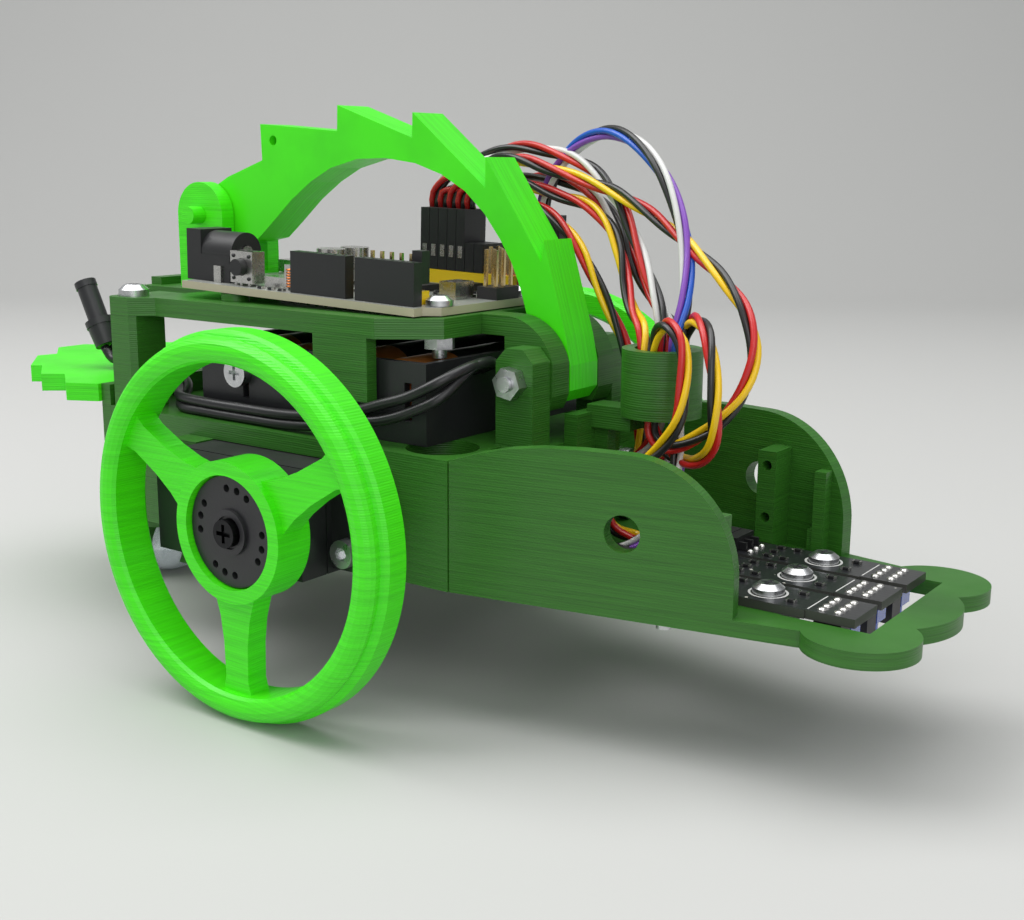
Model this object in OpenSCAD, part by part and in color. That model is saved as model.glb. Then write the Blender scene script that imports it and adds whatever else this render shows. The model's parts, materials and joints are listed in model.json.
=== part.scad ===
// Line follower robot: two servo driven wheels, marble caster, sensor nose, hinged board lid
// Units are millimetres. +X is forwards, +Z is up, the robot stands on Z = 0.

/* [Wheels and drive] */
// wheel radius over the tread
wheel_r = 37.5; // [37.5:0.1:38.5]
// axial width of a wheel
wheel_w = 9.4; // [9:0.1:10]
// distance from the middle plane to a wheel's outer face
track_half = 61.4; // [61.4:0.1:63]
// number of spokes in each wheel
spokes = 3; // [3:1:5]
// half width of a spoke at the rim
spoke_half = 3.0; // [2.4:0.1:3.6]

/* [Body] */
// height of the deck's upper face above the ground
deck_z = 51.2; // [51.2]
// half width of the chassis
body_half = 35.2; // [35.2:0.1:36]
// thickness of the printed side walls
wall = 3.0; // [2.4:0.1:3.4]
// thickness of the hinged top plate
lid_t = 4.0; // [3.6:0.1:4]
// tilt of the controller board on the plate, in degrees
board_tilt = 1.6; // [0.8:0.2:1.8]

/* [Nose] */
// thickness of the nose floor
floor_t = 3.0; // [2.6:0.1:3]
// height of the cheeks above the underside of the nose
cheek_h = 29.8; // [29:0.1:31]
// radius of the round hole in each cheek
cheek_hole_r = 3.4; // [2.5:0.1:4]
// distance between neighbouring sensor boards
sensor_pitch = 12.07; // [11.8:0.01:12.3]

/* [Crest] */
// thickness of the toothed crest
crest_t = 9.9; // [9:0.1:9.9]

/* [Tail] */
// thickness of the stepped tail plate
tail_t = 4.0; // [3:0.1:4]

/* [Hidden] */
x_shift = 4.25;         // puts the middle of the bounding box on X = 0
lime = [0.36, 0.93, 0.10];
green = [0.13, 0.36, 0.10];
black = [0.06, 0.06, 0.065];
steel = [0.75, 0.76, 0.77];
axle_z = wheel_r;
// servo case
servo_x0 = -30.3;
servo_x1 = 10.1;
servo_mid = (servo_x0 + servo_x1) / 2;
servo_half_z = 9.9;
servo_top_y = 50.8;     // outer face of the case
servo_ear_y = 42.6;     // outer face of the mounting ears
servo_ear_t = 2.6;
ear_dx = 24.75;
ear_dz = 5;
ear_screws = [[servo_mid + ear_dx, axle_z - ear_dz], [servo_mid - ear_dx, axle_z + ear_dz]];
// chassis
deck_t = 3.6;
body_x0 = -64;
body_x1 = 32.4;
body_z0 = 26;
hinge_x = 34.3;
hinge_z = 63.7;
hinge_r = 1.5;
hinge_nut_flats = 5.6;
post_y0 = 11.3;
post_y1 = 17.2;
col_x0 = -64;
col_x1 = -55.2;
col_y0 = 26.2;
lid_z0 = 71.6;
lid_z1 = lid_z0 + lid_t;
lid_half = 31.2;
// board, in its own frame: x from its rear edge, z from its upper face
board_x = -48.3;
board_z = 79.35;
board_half = 26.65;
board_holes = [[-33.1, 24.1, 78.92], [17.7, -19.0, 77.5], [17.7, 8.95, 77.5]];
// plain post under the board's fourth corner, which has no screw
board_post = [-34.3, -24.1];
// nose
nose_x0 = 32.65;
nose_half = 35;
nose_angle = 10.1;
nose_z = 26;
bar_x = 86.8;
// caster
ball_x = -89;
ball_r = 8;
rear_x = body_x0 - 0.05;  // face that the caster bracket is screwed to
plate_t = 3;
plate_z0 = 34;
plate_z1 = 55.8;
// clevis for the crest
clevis_x = -62;
clevis_z = 92.5;
crest_eye_r = 6.5;
// battery holder
bat_x0 = -41.4;
bat_x1 = 21.6;
bat_half = 28;
bat_h = 16.1;
cell_r = 7.1;
cell_x = [-32.4, -17.4, -2.4, 12.6];
// cable ring
ring_x = 57;
ring_r = 7.8;
ring_in = 5.4;
ring_z0 = 57.5;
ring_z1 = 70.5;

module at_frame() { translate([x_shift, 0, 0]) children(); }
module on_board() { translate([board_x, 0, board_z]) rotate([0, board_tilt, 0]) children(); }
module box(x0, x1, y0, y1, z0, z1) { translate([x0, y0, z0]) cube([x1 - x0, y1 - y0, z1 - z0]); }
module both_sides() {
    children();
    mirror([0, 1, 0]) children();
}
// round bar along Y from y0 to y1
module bar_y(x, z, r, y0, y1) {
    translate([x, y1, z]) rotate([90, 0, 0]) cylinder(h = y1 - y0, r = r, $fn = 48);
}
module bar_along_x(y, z, r, x0, x1) {
    translate([x0, y, z]) rotate([0, 90, 0]) cylinder(h = x1 - x0, r = r, $fn = 48);
}
module bar_z(x, y, r, z0, z1) { translate([x, y, z0]) cylinder(h = z1 - z0, r = r, $fn = 48); }
// plate standing in the XZ plane between y0 and y1, from a 2D outline
module side_plate(y0, y1) { translate([0, y1, 0]) rotate([90, 0, 0]) linear_extrude(y1 - y0) children(); }
module hex_z(x, y, af, r, z0, z1) {
    difference() {
        translate([x, y, z0]) cylinder(h = z1 - z0, r = af / sqrt(3), $fn = 6);
        bar_z(x, y, r, z0 - 1, z1 + 1);
    }
}
module pan_z(x, y, r, h, z, reach) {  // pan head on z, shank below
    difference() {
        union() {
            translate([x, y, z]) cylinder(h = h * 0.55, r = r, $fn = 40);
            translate([x, y, z + h * 0.55]) cylinder(h = h * 0.45, r1 = r, r2 = r * 0.62, $fn = 40);
            bar_z(x, y, 1.45, z - reach, z + 0.2);
        }
        box(x - 0.4, x + 0.4, y - 1.5, y + 1.5, z + h * 0.35, z + h + 1);
        box(x - 1.5, x + 1.5, y - 0.4, y + 0.4, z + h * 0.35, z + h + 1);
    }
}

module button_x(y, z, x, reach) {  // head towards -x, its seat on x
    difference() {
        union() {
            bar_along_x(y, z, 2.8, x - 1.9, x);
            bar_along_x(y, z, 1.45, x - 0.2, x + reach);
        }
        translate([x - 3, y, z]) rotate([0, 90, 0]) cylinder(h = 2.2, r = 1.3, $fn = 6);
    }
}
// tube swept along a route, closed at both ends
function unit(v) = v / norm(v);
function tangent(p, i) = let(n = len(p)) unit(i == 0 ? p[1] - p[0] : i == n - 1 ? p[n - 1] - p[n - 2]
    : unit(p[i + 1] - p[i]) + unit(p[i] - p[i - 1]));
function side_dir(t) = unit(cross(t, abs(t[1]) < 0.8 ? [0, 1, 0] : [1, 0, 0]));
function frames(p, i, s) = i == len(p) ? [] : let(t = tangent(p, i), q = unit(s - t * (s * t)))
    concat([[q, cross(t, q)]], frames(p, i + 1, q));
module tube(p, r, sides = 8) {
    n = len(p);
    f = frames(p, 0, side_dir(tangent(p, 0)));
    pts = [for (i = [0:n - 1], k = [0:sides - 1])
        p[i] + r * (cos(360 * k / sides) * f[i][0] + sin(360 * k / sides) * f[i][1])];
    polyhedron(pts, concat([[for (k = [0:sides - 1]) k]],
        [for (i = [0:n - 2], k = [0:sides - 1]) let(a = i * sides, b = a + sides, m = (k + 1) % sides)
            each [[a + k, b + k, b + m], [a + k, b + m, a + m]]],
        [[for (k = [0:sides - 1]) (n - 1) * sides + sides - 1 - k]]));
}

// ---------------------------------------------------------------- wheels
module wheel_shape() {  // axis Y, outer face on y = 0, hub towards +y
    k = wheel_r;
    difference() {
        union() {
            rotate([-90, 0, 0]) rotate_extrude($fn = 96) polygon([
                [k - 5.8, 1.3], [k - 5.3, 0.6], [k - 4.4, 0.15], [k - 3.3, 0], [k - 2.2, 0.25],
                [k - 1.4, 0.9], [k - 1.0, 1.7], [k - 1.0, 2.3], [k - 1.3, 2.5], [k - 1.3, 3.1],
                [k - 0.6, 3.5], [k, 4.2], [k, wheel_w - 0.9], [k - 0.7, wheel_w - 0.2],
                [k - 5.1, wheel_w - 0.2], [k - 5.8, wheel_w - 0.9]]);
            rotate([-90, 0, 0]) translate([0, 0, 1.2]) cylinder(h = wheel_w - 1.2, r = 13.6, $fn = 64);
            for (i = [0:spokes - 1]) rotate([0, 360 / spokes * i + 90, 0]) side_plate(2.6, 7.2)
                polygon([[11, -5.8], [13.6, -4.9], [17, -3.9], [22, -spoke_half - 0.2],
                    [29, -spoke_half], [k - 5, -spoke_half - 0.9], [k - 5, spoke_half + 0.9],
                    [29, spoke_half], [22, spoke_half + 0.2], [17, 3.9], [13.6, 4.9], [11, 5.8]]);
        }
        rotate([-90, 0, 0]) translate([0, 0, -1]) cylinder(h = 5.9, r = 10.95, $fn = 64);
        rotate([-90, 0, 0]) translate([0, 0, -1]) cylinder(h = 20, r = 5.2, $fn = 48);
        rotate([-90, 0, 0]) translate([0, 0, 7]) cylinder(h = 5, r = 11, $fn = 64);
    }
}
module wheel_right() { color(lime) at_frame() translate([0, -track_half, axle_z]) wheel_shape(); }
module wheel_left() {
    color(lime) at_frame() mirror([0, 1, 0]) translate([0, -track_half, axle_z]) wheel_shape();
}
module horn_shape() {
    difference() {
        union() {
            bar_y(0, 0, 10.6, 2.4, 4.8);
            bar_y(0, 0, 4.4, 1.7, 2.5);
            bar_y(0, 0, 4.6, 4.7, 9.2);
            bar_y(0, 0, 2.9, 9.1, 15.5);
        }
        for (g = [0:3], i = [-1:1]) rotate([0, 90 * g + 19 * i + 14, 0]) bar_y(0, 8.3, 0.75, 1, 5.5);
        bar_y(0, 0, 3.2, 1, 2.2);
        bar_y(0, 0, 1.35, 1, 12);
    }
}
module horn_screw_shape() {
    difference() {
        union() {
            bar_y(0, 0, 2.7, 0.5, 2.2);
            bar_y(0, 0, 1.3, 2.1, 11);
        }
        box(-0.4, 0.4, 0, 1.5, -1.8, 1.8);
        box(-1.8, 1.8, 0, 1.5, -0.4, 0.4);
    }
}
module horn_right() { color(black) at_frame() translate([0, -track_half, axle_z]) horn_shape(); }
module horn_left() {
    color(black) at_frame() mirror([0, 1, 0]) translate([0, -track_half, axle_z]) horn_shape();
}
module horn_screw_right() {
    color(black) at_frame() translate([0, -track_half, axle_z]) horn_screw_shape();
}
module horn_screw_left() {
    color(black) at_frame() mirror([0, 1, 0]) translate([0, -track_half, axle_z]) horn_screw_shape();
}

// ---------------------------------------------------------------- servos
module servo_shape() {  // right hand servo, output towards -y
    z0 = axle_z - servo_half_z;
    z1 = axle_z + servo_half_z;
    difference() {
        union() {
            box(servo_x0, servo_x1, -servo_top_y, -servo_top_y + 36.5, z0, z1);
            box(servo_mid - 27.3, servo_mid + 27.3, -servo_ear_y, -servo_ear_y + servo_ear_t,
                z0 + 0.9, z1 - 0.9);
            bar_y(0, axle_z, 7, -servo_top_y - 1, -servo_top_y + 1);
            bar_y(-10.5, axle_z, 4.5, -servo_top_y - 0.6, -servo_top_y + 1);
            box(servo_x1 - 1, servo_x1 + 1.6, -19.6, -15.8, axle_z - 2, axle_z + 2);
        }
        for (sx = [-1, 1], sz = [-1, 1]) translate([servo_mid + sx * ear_dx, 0, axle_z + sz * ear_dz])
            bar_y(0, 0, 2.1, -servo_ear_y - 1, -servo_ear_y + 4);
        bar_y(0, axle_z, 2.96, -servo_top_y - 2, -servo_top_y + 6);
        // parting lines of the case
        for (y = [-servo_top_y + 6.5, -servo_top_y + 26]) difference() {
            box(servo_x0 - 1, servo_x1 + 1, y, y + 0.4, z0 - 1, z1 + 1);
            box(servo_x0 + 0.3, servo_x1 - 0.3, y - 1, y + 1.4, z0 + 0.3, z1 - 0.3);
        }
    }
}
module servo_right() { color(black) at_frame() servo_shape(); }
module servo_left() { color(black) at_frame() mirror([0, 1, 0]) servo_shape(); }
module servo_screws() {
    color(steel) at_frame() both_sides() for (p = ear_screws) difference() {
        union() {
            bar_y(p[0], p[1], 2.75, -servo_ear_y - 2.6, -servo_ear_y);
            bar_y(p[0], p[1], 1.45, -servo_ear_y - 0.2, -servo_ear_y + 9);
        }
        translate([p[0], -servo_ear_y - 1, p[1]]) rotate([90, 0, 0]) cylinder(h = 3, r = 1.45, $fn = 6);
    }
}

// ---------------------------------------------------------------- chassis
module servo_pad(x0, x1) {
    box(x0, x1, -servo_ear_y + servo_ear_t, -body_half + 1, 28.4, deck_z - deck_t);
}
module chassis() {
    color(green) at_frame() difference() {
        union() {
            box(body_x0, body_x1, -body_half, body_half, deck_z - deck_t, deck_z);
            box(body_x1 - 4, 40, -19, 19, deck_z - deck_t, deck_z);
            both_sides() {
                box(10.5, body_x1, -body_half, -body_half + wall, body_z0, deck_z - 1);
                box(body_x0, -30.7, -body_half, -body_half + wall, body_z0, deck_z - 1);
                servo_pad(-38.5, -30.7);
                servo_pad(10.5, 18.3);
                box(10.5, 13.5, -body_half + 1, -12, 28.4, deck_z - 1);
                box(-33.7, -30.7, -body_half + 1, -12, 28.4, deck_z - 1);
                // column at the rear corner, its two outer corners bevelled
                translate([0, 0, deck_z - 1]) linear_extrude(lid_z0 - deck_z + 1) polygon([
                    [col_x0 + 1.6, -body_half], [col_x1 - 1.2, -body_half], [col_x1, -body_half + 1.2],
                    [col_x1, -col_y0], [col_x0, -col_y0], [col_x0, -body_half + 1.6]]);
                // hinge post
                side_plate(-post_y1, -post_y0) polygon([[30.1, deck_z - 1], [38.8, deck_z - 1],
                    [38.8, 67.6], [36.4, 70.2], [32.5, 70.2], [30.1, 67.6]]);
            }
            box(29.4, body_x1, -body_half, body_half, body_z0, deck_z - 1);
            box(body_x0, body_x0 + wall, -body_half, body_half, body_z0, deck_z - 1);
        }
        both_sides() {
            bar_z(24, -26, 7.2, deck_z - deck_t - 1, deck_z + 1);
            bar_z(-59.6, -30.7, 1.5, 55, lid_z0 + 1);
            for (z = [32, 42]) bar_along_x(-22, z, 1.6, 25, 40);
            bar_along_x(-24, 40, 1.6, -70, -55);
            bar_along_x(-17.7, axle_z, 4, 10, 14);
            for (p = ear_screws) bar_y(p[0], p[1], 1.5, -servo_ear_y - 1, -servo_ear_y + 10);
        }
        box(29, 33, -12, 12, 34, 44.5);
        box(-24, 4, -10, 10, deck_z - deck_t - 1, deck_z + 1);
        bar_y(hinge_x, hinge_z, hinge_r + 0.05, -20, 20);
    }
}
module caster_bracket() {
    leg = 2.6;  // half width of the four legs that hold the marble
    color(green) at_frame() difference() {
        union() {
            box(rear_x - plate_t, rear_x, -body_half, body_half, plate_z0, plate_z1);
            box(rear_x - plate_t, rear_x, -13, 13, 17, plate_z0 + 1);
            box(ball_x, rear_x - 1, -8, 8, 17, 24);
            box(rear_x - 12, rear_x - 1, -1.6, 1.6, 23, plate_z0 + 8);
            bar_z(ball_x, 0, 10.6, 14, 24);
            intersection() {
                bar_z(ball_x, 0, 10.6, 3.6, 15);
                union() {
                    box(ball_x - 12, ball_x + 12, -leg, leg, 3, 16);
                    box(ball_x - leg, ball_x + leg, -12, 12, 3, 16);
                }
            }
        }
        translate([ball_x, 0, ball_r]) sphere(r = ball_r + 0.3, $fn = 64);
        for (s = [-1, 1]) bar_along_x(24 * s, 40, 1.6, -70, -60);
        for (s = [-1, 1]) bar_along_x(10 * s, 49, 1.6, -70, -60);
    }
}
module marble() {
    color([0.72, 0.78, 0.8, 0.6]) at_frame() translate([ball_x, 0, ball_r]) sphere(r = ball_r, $fn = 64);
}
module tail() {
    x0 = rear_x - plate_t - 0.05;
    // one saw-toothed edge, from the plate to the tip
    edge = [[x0, 36], [-74, 39.5], [-85.3, 31.5], [-89.4, 35], [-101, 26.5], [-103, 28.3],
        [-116.5, 16.8], [-115.5, 11.7], [-125.5, 4]];
    n = len(edge);
    color(lime) at_frame() difference() {
        union() {
            translate([0, 0, plate_z1 - tail_t]) linear_extrude(tail_t)
                polygon([for (p = edge) p, for (i = [0:n - 1]) [edge[n - 1 - i][0], -edge[n - 1 - i][1]]]);
            box(x0 - 3.2, x0, -15, 15, 44.5, plate_z1 - 1);
        }
        for (s = [-1, 1]) bar_along_x(10 * s, 49, 1.6, -72, -60);
    }
}
module rear_screws() {  // two through the chassis, two through the tail's flange
    color(steel) at_frame() for (s = [-1, 1]) {
        button_x(24 * s, 40, rear_x - plate_t - 0.05, 5.8);
        button_x(10 * s, 49, rear_x - plate_t - 3.3, 6);
    }
}

// ---------------------------------------------------------------- nose
module cheek() {  // near side cheek, outer face on the tapering side line
    translate([nose_x0, -nose_half, nose_z]) rotate([0, 0, nose_angle]) difference() {
        side_plate(0, wall) {
            polygon([[0, 0], [0, 25.2], [6, 27.2], [12, 28.6], [18, 29.4], [26, cheek_h],
                [34.6, cheek_h], [34.6, 0]]);
            translate([34.5, 0]) square([20.3, cheek_h - 20.3]);
            intersection() {
                translate([34.5, cheek_h - 20.3]) circle(r = 20.3, $fn = 96);
                translate([34.5, cheek_h - 20.4]) square([25, 25]);
            }
        }
        bar_y(34.3, 15.6, cheek_hole_r, -1, wall + 1);
    }
}
module nose() {
    x_end = 97.5;
    y_end = nose_half - tan(nose_angle) * (x_end - nose_x0);
    color(green) at_frame() difference() {
        union() {
            translate([0, 0, nose_z]) linear_extrude(floor_t) {
                polygon([[nose_x0, -nose_half], [x_end, -y_end], [108, -20], [112, -12], [112, 12],
                    [108, 20], [x_end, y_end], [nose_x0, nose_half]]);
                for (s = [-1, 1]) translate([106.5, 18 * s]) circle(r = 10, $fn = 64);
                translate([100, 0]) circle(r = 17, $fn = 96);
            }
            both_sides() {
                cheek();
                box(nose_x0, nose_x0 + wall, -nose_half + 2, -14, nose_z, deck_z - deck_t - 0.2);
                // block for an accessory board and two guide ribs on the inner face
                box(69.5, 73.4, -26.5, -17.6, nose_z + 1, 49.3);
                box(80.6, 83, -24.5, -20, nose_z + 1, 46);
                box(79.4, 80.8, -24.5, -20.6, nose_z + 1, 34);
            }
        }
        // flat face that meets the chassis
        box(nose_x0 - 5, nose_x0, -40, 40, nose_z - 1, 80);
        box(91.8, 108, -17.7, 17.7, nose_z - 1, nose_z + floor_t + 1);
        box(51, 80, -16, 16, nose_z - 1, nose_z + floor_t + 1);
        both_sides() {
            for (z = [32, 42]) bar_along_x(-22, z, 1.6, 25, 40);
            for (z = [35.8, 46.4]) bar_y(71.5, z, 1, -22, -15);
            bar_z(71.5, -22, 1.5, nose_z - 1, nose_z + 8);
        }
        for (i = [-1:1]) bar_z(bar_x, i * sensor_pitch, 1.6, nose_z - 1, nose_z + floor_t + 1);
    }
}
module nose_bolts() {
    color(steel) at_frame() both_sides() {
        bar_z(71.5, -22, 1.45, nose_z - 2.4, nose_z + 7.9);
        for (z = [32, 42]) difference() {
        union() {
            bar_along_x(-22, z, 2.8, nose_x0 + wall, nose_x0 + wall + 2);
            bar_along_x(-22, z, 1.45, 25, nose_x0 + wall + 0.2);
        }
        translate([nose_x0 + wall + 1, -22, z]) rotate([0, 90, 0]) cylinder(h = 3, r = 1.45, $fn = 6);
        }
    }
}
module nose_nuts() {
    color(steel) each_sensor() hex_z(bar_x, 0, 5.5, 1.5, nose_z - 2.45, nose_z - 0.05);
    color(steel) at_frame() both_sides() for (z = [32, 42]) difference() {
        translate([27, -22, z]) rotate([0, 90, 0]) cylinder(h = 2.35, r = 5.5 / sqrt(3), $fn = 6);
        bar_along_x(-22, z, 1.5, 25, 31);
    }
}
module cable_ring() {
    color(green) at_frame() difference() {
        union() {
            bar_z(ring_x, 0, ring_r, ring_z0, ring_z1);
            box(40.05, 43, -8, 8, deck_z - deck_t, 57);
            box(42, 52, -3, 3, 54, 58.5);
            box(42, 46, -1.5, 1.5, 48, 55);
        }
        bar_z(ring_x, 0, ring_in, ring_z0 - 10, ring_z1 + 1);
    }
}

// ---------------------------------------------------------------- lid and crest
module lid_lug() {
    side_plate(-11.1, -5.3) {
        translate([18, lid_z0]) square([9.8, lid_t]);
        intersection() {
            translate([27.7, hinge_z]) circle(r = lid_z1 - hinge_z, $fn = 96);
            translate([27.7, 57.6]) square([11.5, 30]);
        }
    }
}
module lid() {
    color(green) at_frame() difference() {
        union() {
            translate([0, 0, lid_z0]) linear_extrude(lid_t) polygon([[col_x1, -lid_half],
                [11.5, -lid_half], [22, -23], [22, 23], [11.5, lid_half], [col_x1, lid_half]]);
            box(-80, -50, -12, 12, lid_z0, lid_z1);
            box(-80, -76.4, -9, 9, lid_z0 + 1, lid_z1 + 1.8);
            both_sides() {
                translate([0, 0, lid_z0 + 0.05]) linear_extrude(lid_t - 0.05) polygon([
                    [col_x0 + 1.6, -body_half], [col_x1 - 1.2, -body_half], [-52, -lid_half],
                    [-52, -20], [col_x0, -20], [col_x0, -body_half + 1.6]]);
                box(-4.9, 9.4, -lid_half, -bat_half - 0.4, 59, lid_z0 + 1);
                lid_lug();
            }
            for (p = [board_holes[0], board_post]) bar_z(p[0], p[1], 3, lid_z1 - 1, 77.2);
        }
        box(-26, 8, -19, 19, lid_z0 - 1, lid_z1 + 1);
        for (p = board_holes) bar_z(p[0], p[1], 1.6, lid_z0 - 1, lid_z1 + 5);
        both_sides() bar_z(-59.6, -30.7, 1.6, lid_z0 - 1, lid_z1 + 1);
        bar_y(hinge_x, hinge_z, hinge_r + 0.05, -20, 20);
        for (x = [-66, -58]) bar_z(x, 0, 1.5, lid_z0 - 1, lid_z1 + 1);
    }
}
module lid_screws() {
    color(steel) at_frame() both_sides() pan_z(-59.6, -30.7, 3.3, 2.5, lid_z1 + 0.02, 3.9);
}
module hinge_bolt() {
    color(steel) at_frame() difference() {
        union() {
            bar_y(hinge_x, hinge_z, hinge_r - 0.02, -20.6, post_y1 + 0.5);
            bar_y(hinge_x, hinge_z, 2.8, post_y1 + 0.05, post_y1 + 2.6);
        }
        box(hinge_x - 0.4, hinge_x + 0.4, post_y1 + 1.4, post_y1 + 4, hinge_z - 1.6, hinge_z + 1.6);
        box(hinge_x - 1.6, hinge_x + 1.6, post_y1 + 1.4, post_y1 + 4, hinge_z - 0.4, hinge_z + 0.4);
    }
}
module hinge_nut() {
    color(steel) at_frame() difference() {
        translate([hinge_x, -post_y1 - 0.05, hinge_z]) rotate([90, 10, 0])
            cylinder(h = 2.5, r = hinge_nut_flats / sqrt(3), $fn = 6);
        bar_y(hinge_x, hinge_z, hinge_r, -22, -15);
    }
}
module crest() {
    h = crest_t / 2;
    // rounded eye at the rear, from below round to the top
    eye = [for (a = [280:-8:80]) [clevis_x + crest_eye_r * cos(a), clevis_z + crest_eye_r * sin(a)]];
    color(lime) at_frame() difference() {
        side_plate(-h, h)
            polygon(concat(eye, [[-56.2, 101.2], [-44.8, 105], [-45.1, 112.9], [-21.7, 111.2],
                [-21.5, 116.6], [-0.7, 109.7], [-0.6, 114.8], [18.2, 99.9], [18.2, 105.9],
                [32, 85.9], [32.4, 90.1], [38, 71.5], [39.2, 66], [39.2, 61], [37.4, 58.6],
                [28.8, 58.6], [28.8, 74.7], [27, 80.5], [24.8, 85.4], [22, 89.8], [18, 94.8],
                [13, 99.2], [7, 102.4], [0, 104.6], [-8, 105.6], [-16, 105.4], [-24, 103.4],
                [-30, 100.4], [-36, 96.4], [-42, 91.4], [-47, 87.4], [-52, 86.4]]));
        bar_y(hinge_x, hinge_z, hinge_r + 0.05, -20, 20);
        bar_y(clevis_x, clevis_z, 2.05, -20, 20);
        bar_y(-41.2, 109.3, 1.1, -20, 20);
    }
}
module crest_clevis() {
    color(lime) at_frame() difference() {
        union() {
            box(clevis_x - 7.5, clevis_x + 7.5, -8.8, 8.8, lid_z1 + 0.05, lid_z1 + 3.6);
            both_sides() side_plate(-8.8, -5.2) {
                translate([clevis_x - 7.5, lid_z1 + 2]) square([15, clevis_z - lid_z1 - 2]);
                translate([clevis_x, clevis_z]) circle(r = 7.5, $fn = 64);
            }
        }
        bar_y(clevis_x, clevis_z, 2.05, -20, 20);
        for (x = [-66, -58]) bar_z(x, 0, 1.5, lid_z0 - 1, lid_z1 + 6);
    }
}
module clevis_pin() {
    color(lime) at_frame() {
        bar_y(clevis_x, clevis_z, 2, -12.4, 11);
        bar_y(clevis_x, clevis_z, 3, 8.85, 11.2);
    }
}
module clevis_screws() {
    color(steel) at_frame() for (x = [-66, -58]) pan_z(x, 0, 2.7, 2, lid_z1 + 3.65, 7);
}

// ---------------------------------------------------------------- battery
module battery_holder() {
    z0 = deck_z + 0.05;
    z1 = deck_z + bat_h;
    color(black) at_frame() difference() {
        box(bat_x0, bat_x1, -bat_half, bat_half, z0, z1);
        box(bat_x0 + 1.5, bat_x1 - 1.5, -bat_half + 1.6, bat_half - 1.6, z0 + 1.7, z1 + 1);
        both_sides() for (x = cell_x) box(x + 3.6, x + 5.4, -bat_half - 1, -bat_half + 3, z0 + 4.5, z1 - 4);
        for (x = [-24.9, -9.9, 5.1]) box(x - 1.2, x + 1.2, -14, 14, z0 - 1, z0 + 3);
        bar_y(-29.4, 61.1, 1.5, -bat_half - 1, -bat_half + 3);
    }
}
module battery_cells() {
    color([0.1, 0.1, 0.1]) at_frame() for (i = [0:3]) {
        s = (i % 2 == 0) ? 1 : -1;
        bar_y(cell_x[i], deck_z + 1.85 + cell_r, cell_r, -24.4, 24.4);
        bar_y(cell_x[i], deck_z + 1.85 + cell_r, 2.7, s > 0 ? 24 : -25.6, s > 0 ? 25.6 : -24);
    }
}
module battery_screw() {
    color(steel) at_frame() difference() {
        union() {
            bar_y(-29.4, 61.1, 3.1, -bat_half - 1.9, -bat_half - 0.02);
            bar_y(-29.4, 61.1, 1.45, -bat_half - 0.2, -25.9);
        }
        box(-29.8, -29, -bat_half - 3, -bat_half - 0.9, 59.5, 62.7);
        box(-31, -27.8, -bat_half - 3, -bat_half - 0.9, 60.7, 61.5);
    }
}
// holder lead: two strands from the holder's front end, along its side and back to the plug
lead_route = [[21.7, -13, 64.5], [25.5, -14.5, 66], [27.6, -19, 67], [27.8, -24.5, 66.4],
    [26, -29, 64.6], [20, -31.2, 61.4], [14, -32.3, 59.4], [7, -32.6, 57.2], [-2, -32.6, 55.4],
    [-12, -32.4, 54.5], [-24, -32, 54.3], [-36, -31.8, 54.3], [-46, -30.4, 54.4], [-52, -25.5, 54.8],
    [-57.5, -22, 56.2], [-64, -20.8, 59], [-71, -20.4, 60.4], [-77.5, -20.2, 58.8], [-82.2, -20, 58.4],
    [-85, -20, 61]];
// second strand: rests on the deck below the first, beside it at both ends
function lower(p) = [p[0], p[1] + (p[0] < -49 || p[1] > -25 ? 2.4 : 0),
    p[2] - (p[0] < -49 || p[1] > -25 ? 0 : p[0] > 10 ? 3.1 : 2)];
strand_r = 1.1;
plug_foot = [-85.2, -18.8, 61.3];
plug_lean = 27;
module battery_lead() {
    color(black) at_frame() {
        tube(lead_route, strand_r);
        tube([for (p = lead_route) lower(p)], strand_r);
    }
}
module barrel_plug() {
    color(black) at_frame() translate(plug_foot) rotate([0, -plug_lean, 0]) {
        cylinder(h = 5, r1 = 2.9, r2 = 3.2, $fn = 40);
        translate([0, 0, 4.9]) cylinder(h = 1.6, r = 3.4, $fn = 40);
        translate([0, 0, 6.4]) cylinder(h = 8.6, r = 2.4, $fn = 40);
        translate([0, 0, 14.9]) difference() {
            cylinder(h = 1.6, r = 2.6, $fn = 40);
            translate([0, 0, 0.4]) cylinder(h = 3, r = 1.2, $fn = 32);
        }
    }
}

// ---------------------------------------------------------------- controller board
pitch = 2.54;
pcb_t = 1.6;
pcb_l = 68.6;
// hole centres in the board's own frame
pcb_holes = [for (h = board_holes) [(h[0] - board_x) / cos(board_tilt), h[1]]];
row_y = [15.2, 17.74, 20.28];   // the three rows of the sensor and servo header
row_x0 = 33.6;
row_n = 10;
plug_n = 5;
module board_pcb() {
    color([0.16, 0.18, 0.17]) at_frame() on_board() difference() {
        translate([0, 0, -pcb_t]) linear_extrude(pcb_t) polygon([[0, -board_half], [66, -board_half],
            [66, 2.5 - board_half], [pcb_l, 5.1 - board_half], [pcb_l, board_half - 15],
            [66, board_half - 12.5], [66, board_half], [0, board_half]]);
        for (h = pcb_holes) bar_z(h[0], h[1], 1.6, -3, 1);
    }
}
module dc_jack() {
    color(black) at_frame() on_board() difference() {
        union() {
            box(-1.9, 2.6, -23.35, -14.35, 0.02, 11);
            box(2.5, 11.6, -23.35, -14.35, 0.02, 5.8);
            bar_along_x(-18.85, 6.3, 4.4, 2.5, 12);
        }
        bar_along_x(-18.85, 6.3, 3.1, -3, 8.5);
        bar_along_x(-18.85, 6.3, 1.7, 11.5, 13);
    }
}
module jack_pin() {
    color(steel) at_frame() on_board() {
        bar_along_x(-18.85, 6.3, 1, -0.5, 8.48);
        bar_along_x(-18.85, 6.3, 1.6, 11.52, 12.5);
        box(7.2, 9.4, -23.95, -23.4, 0.05, 3.6);
    }
}
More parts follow.
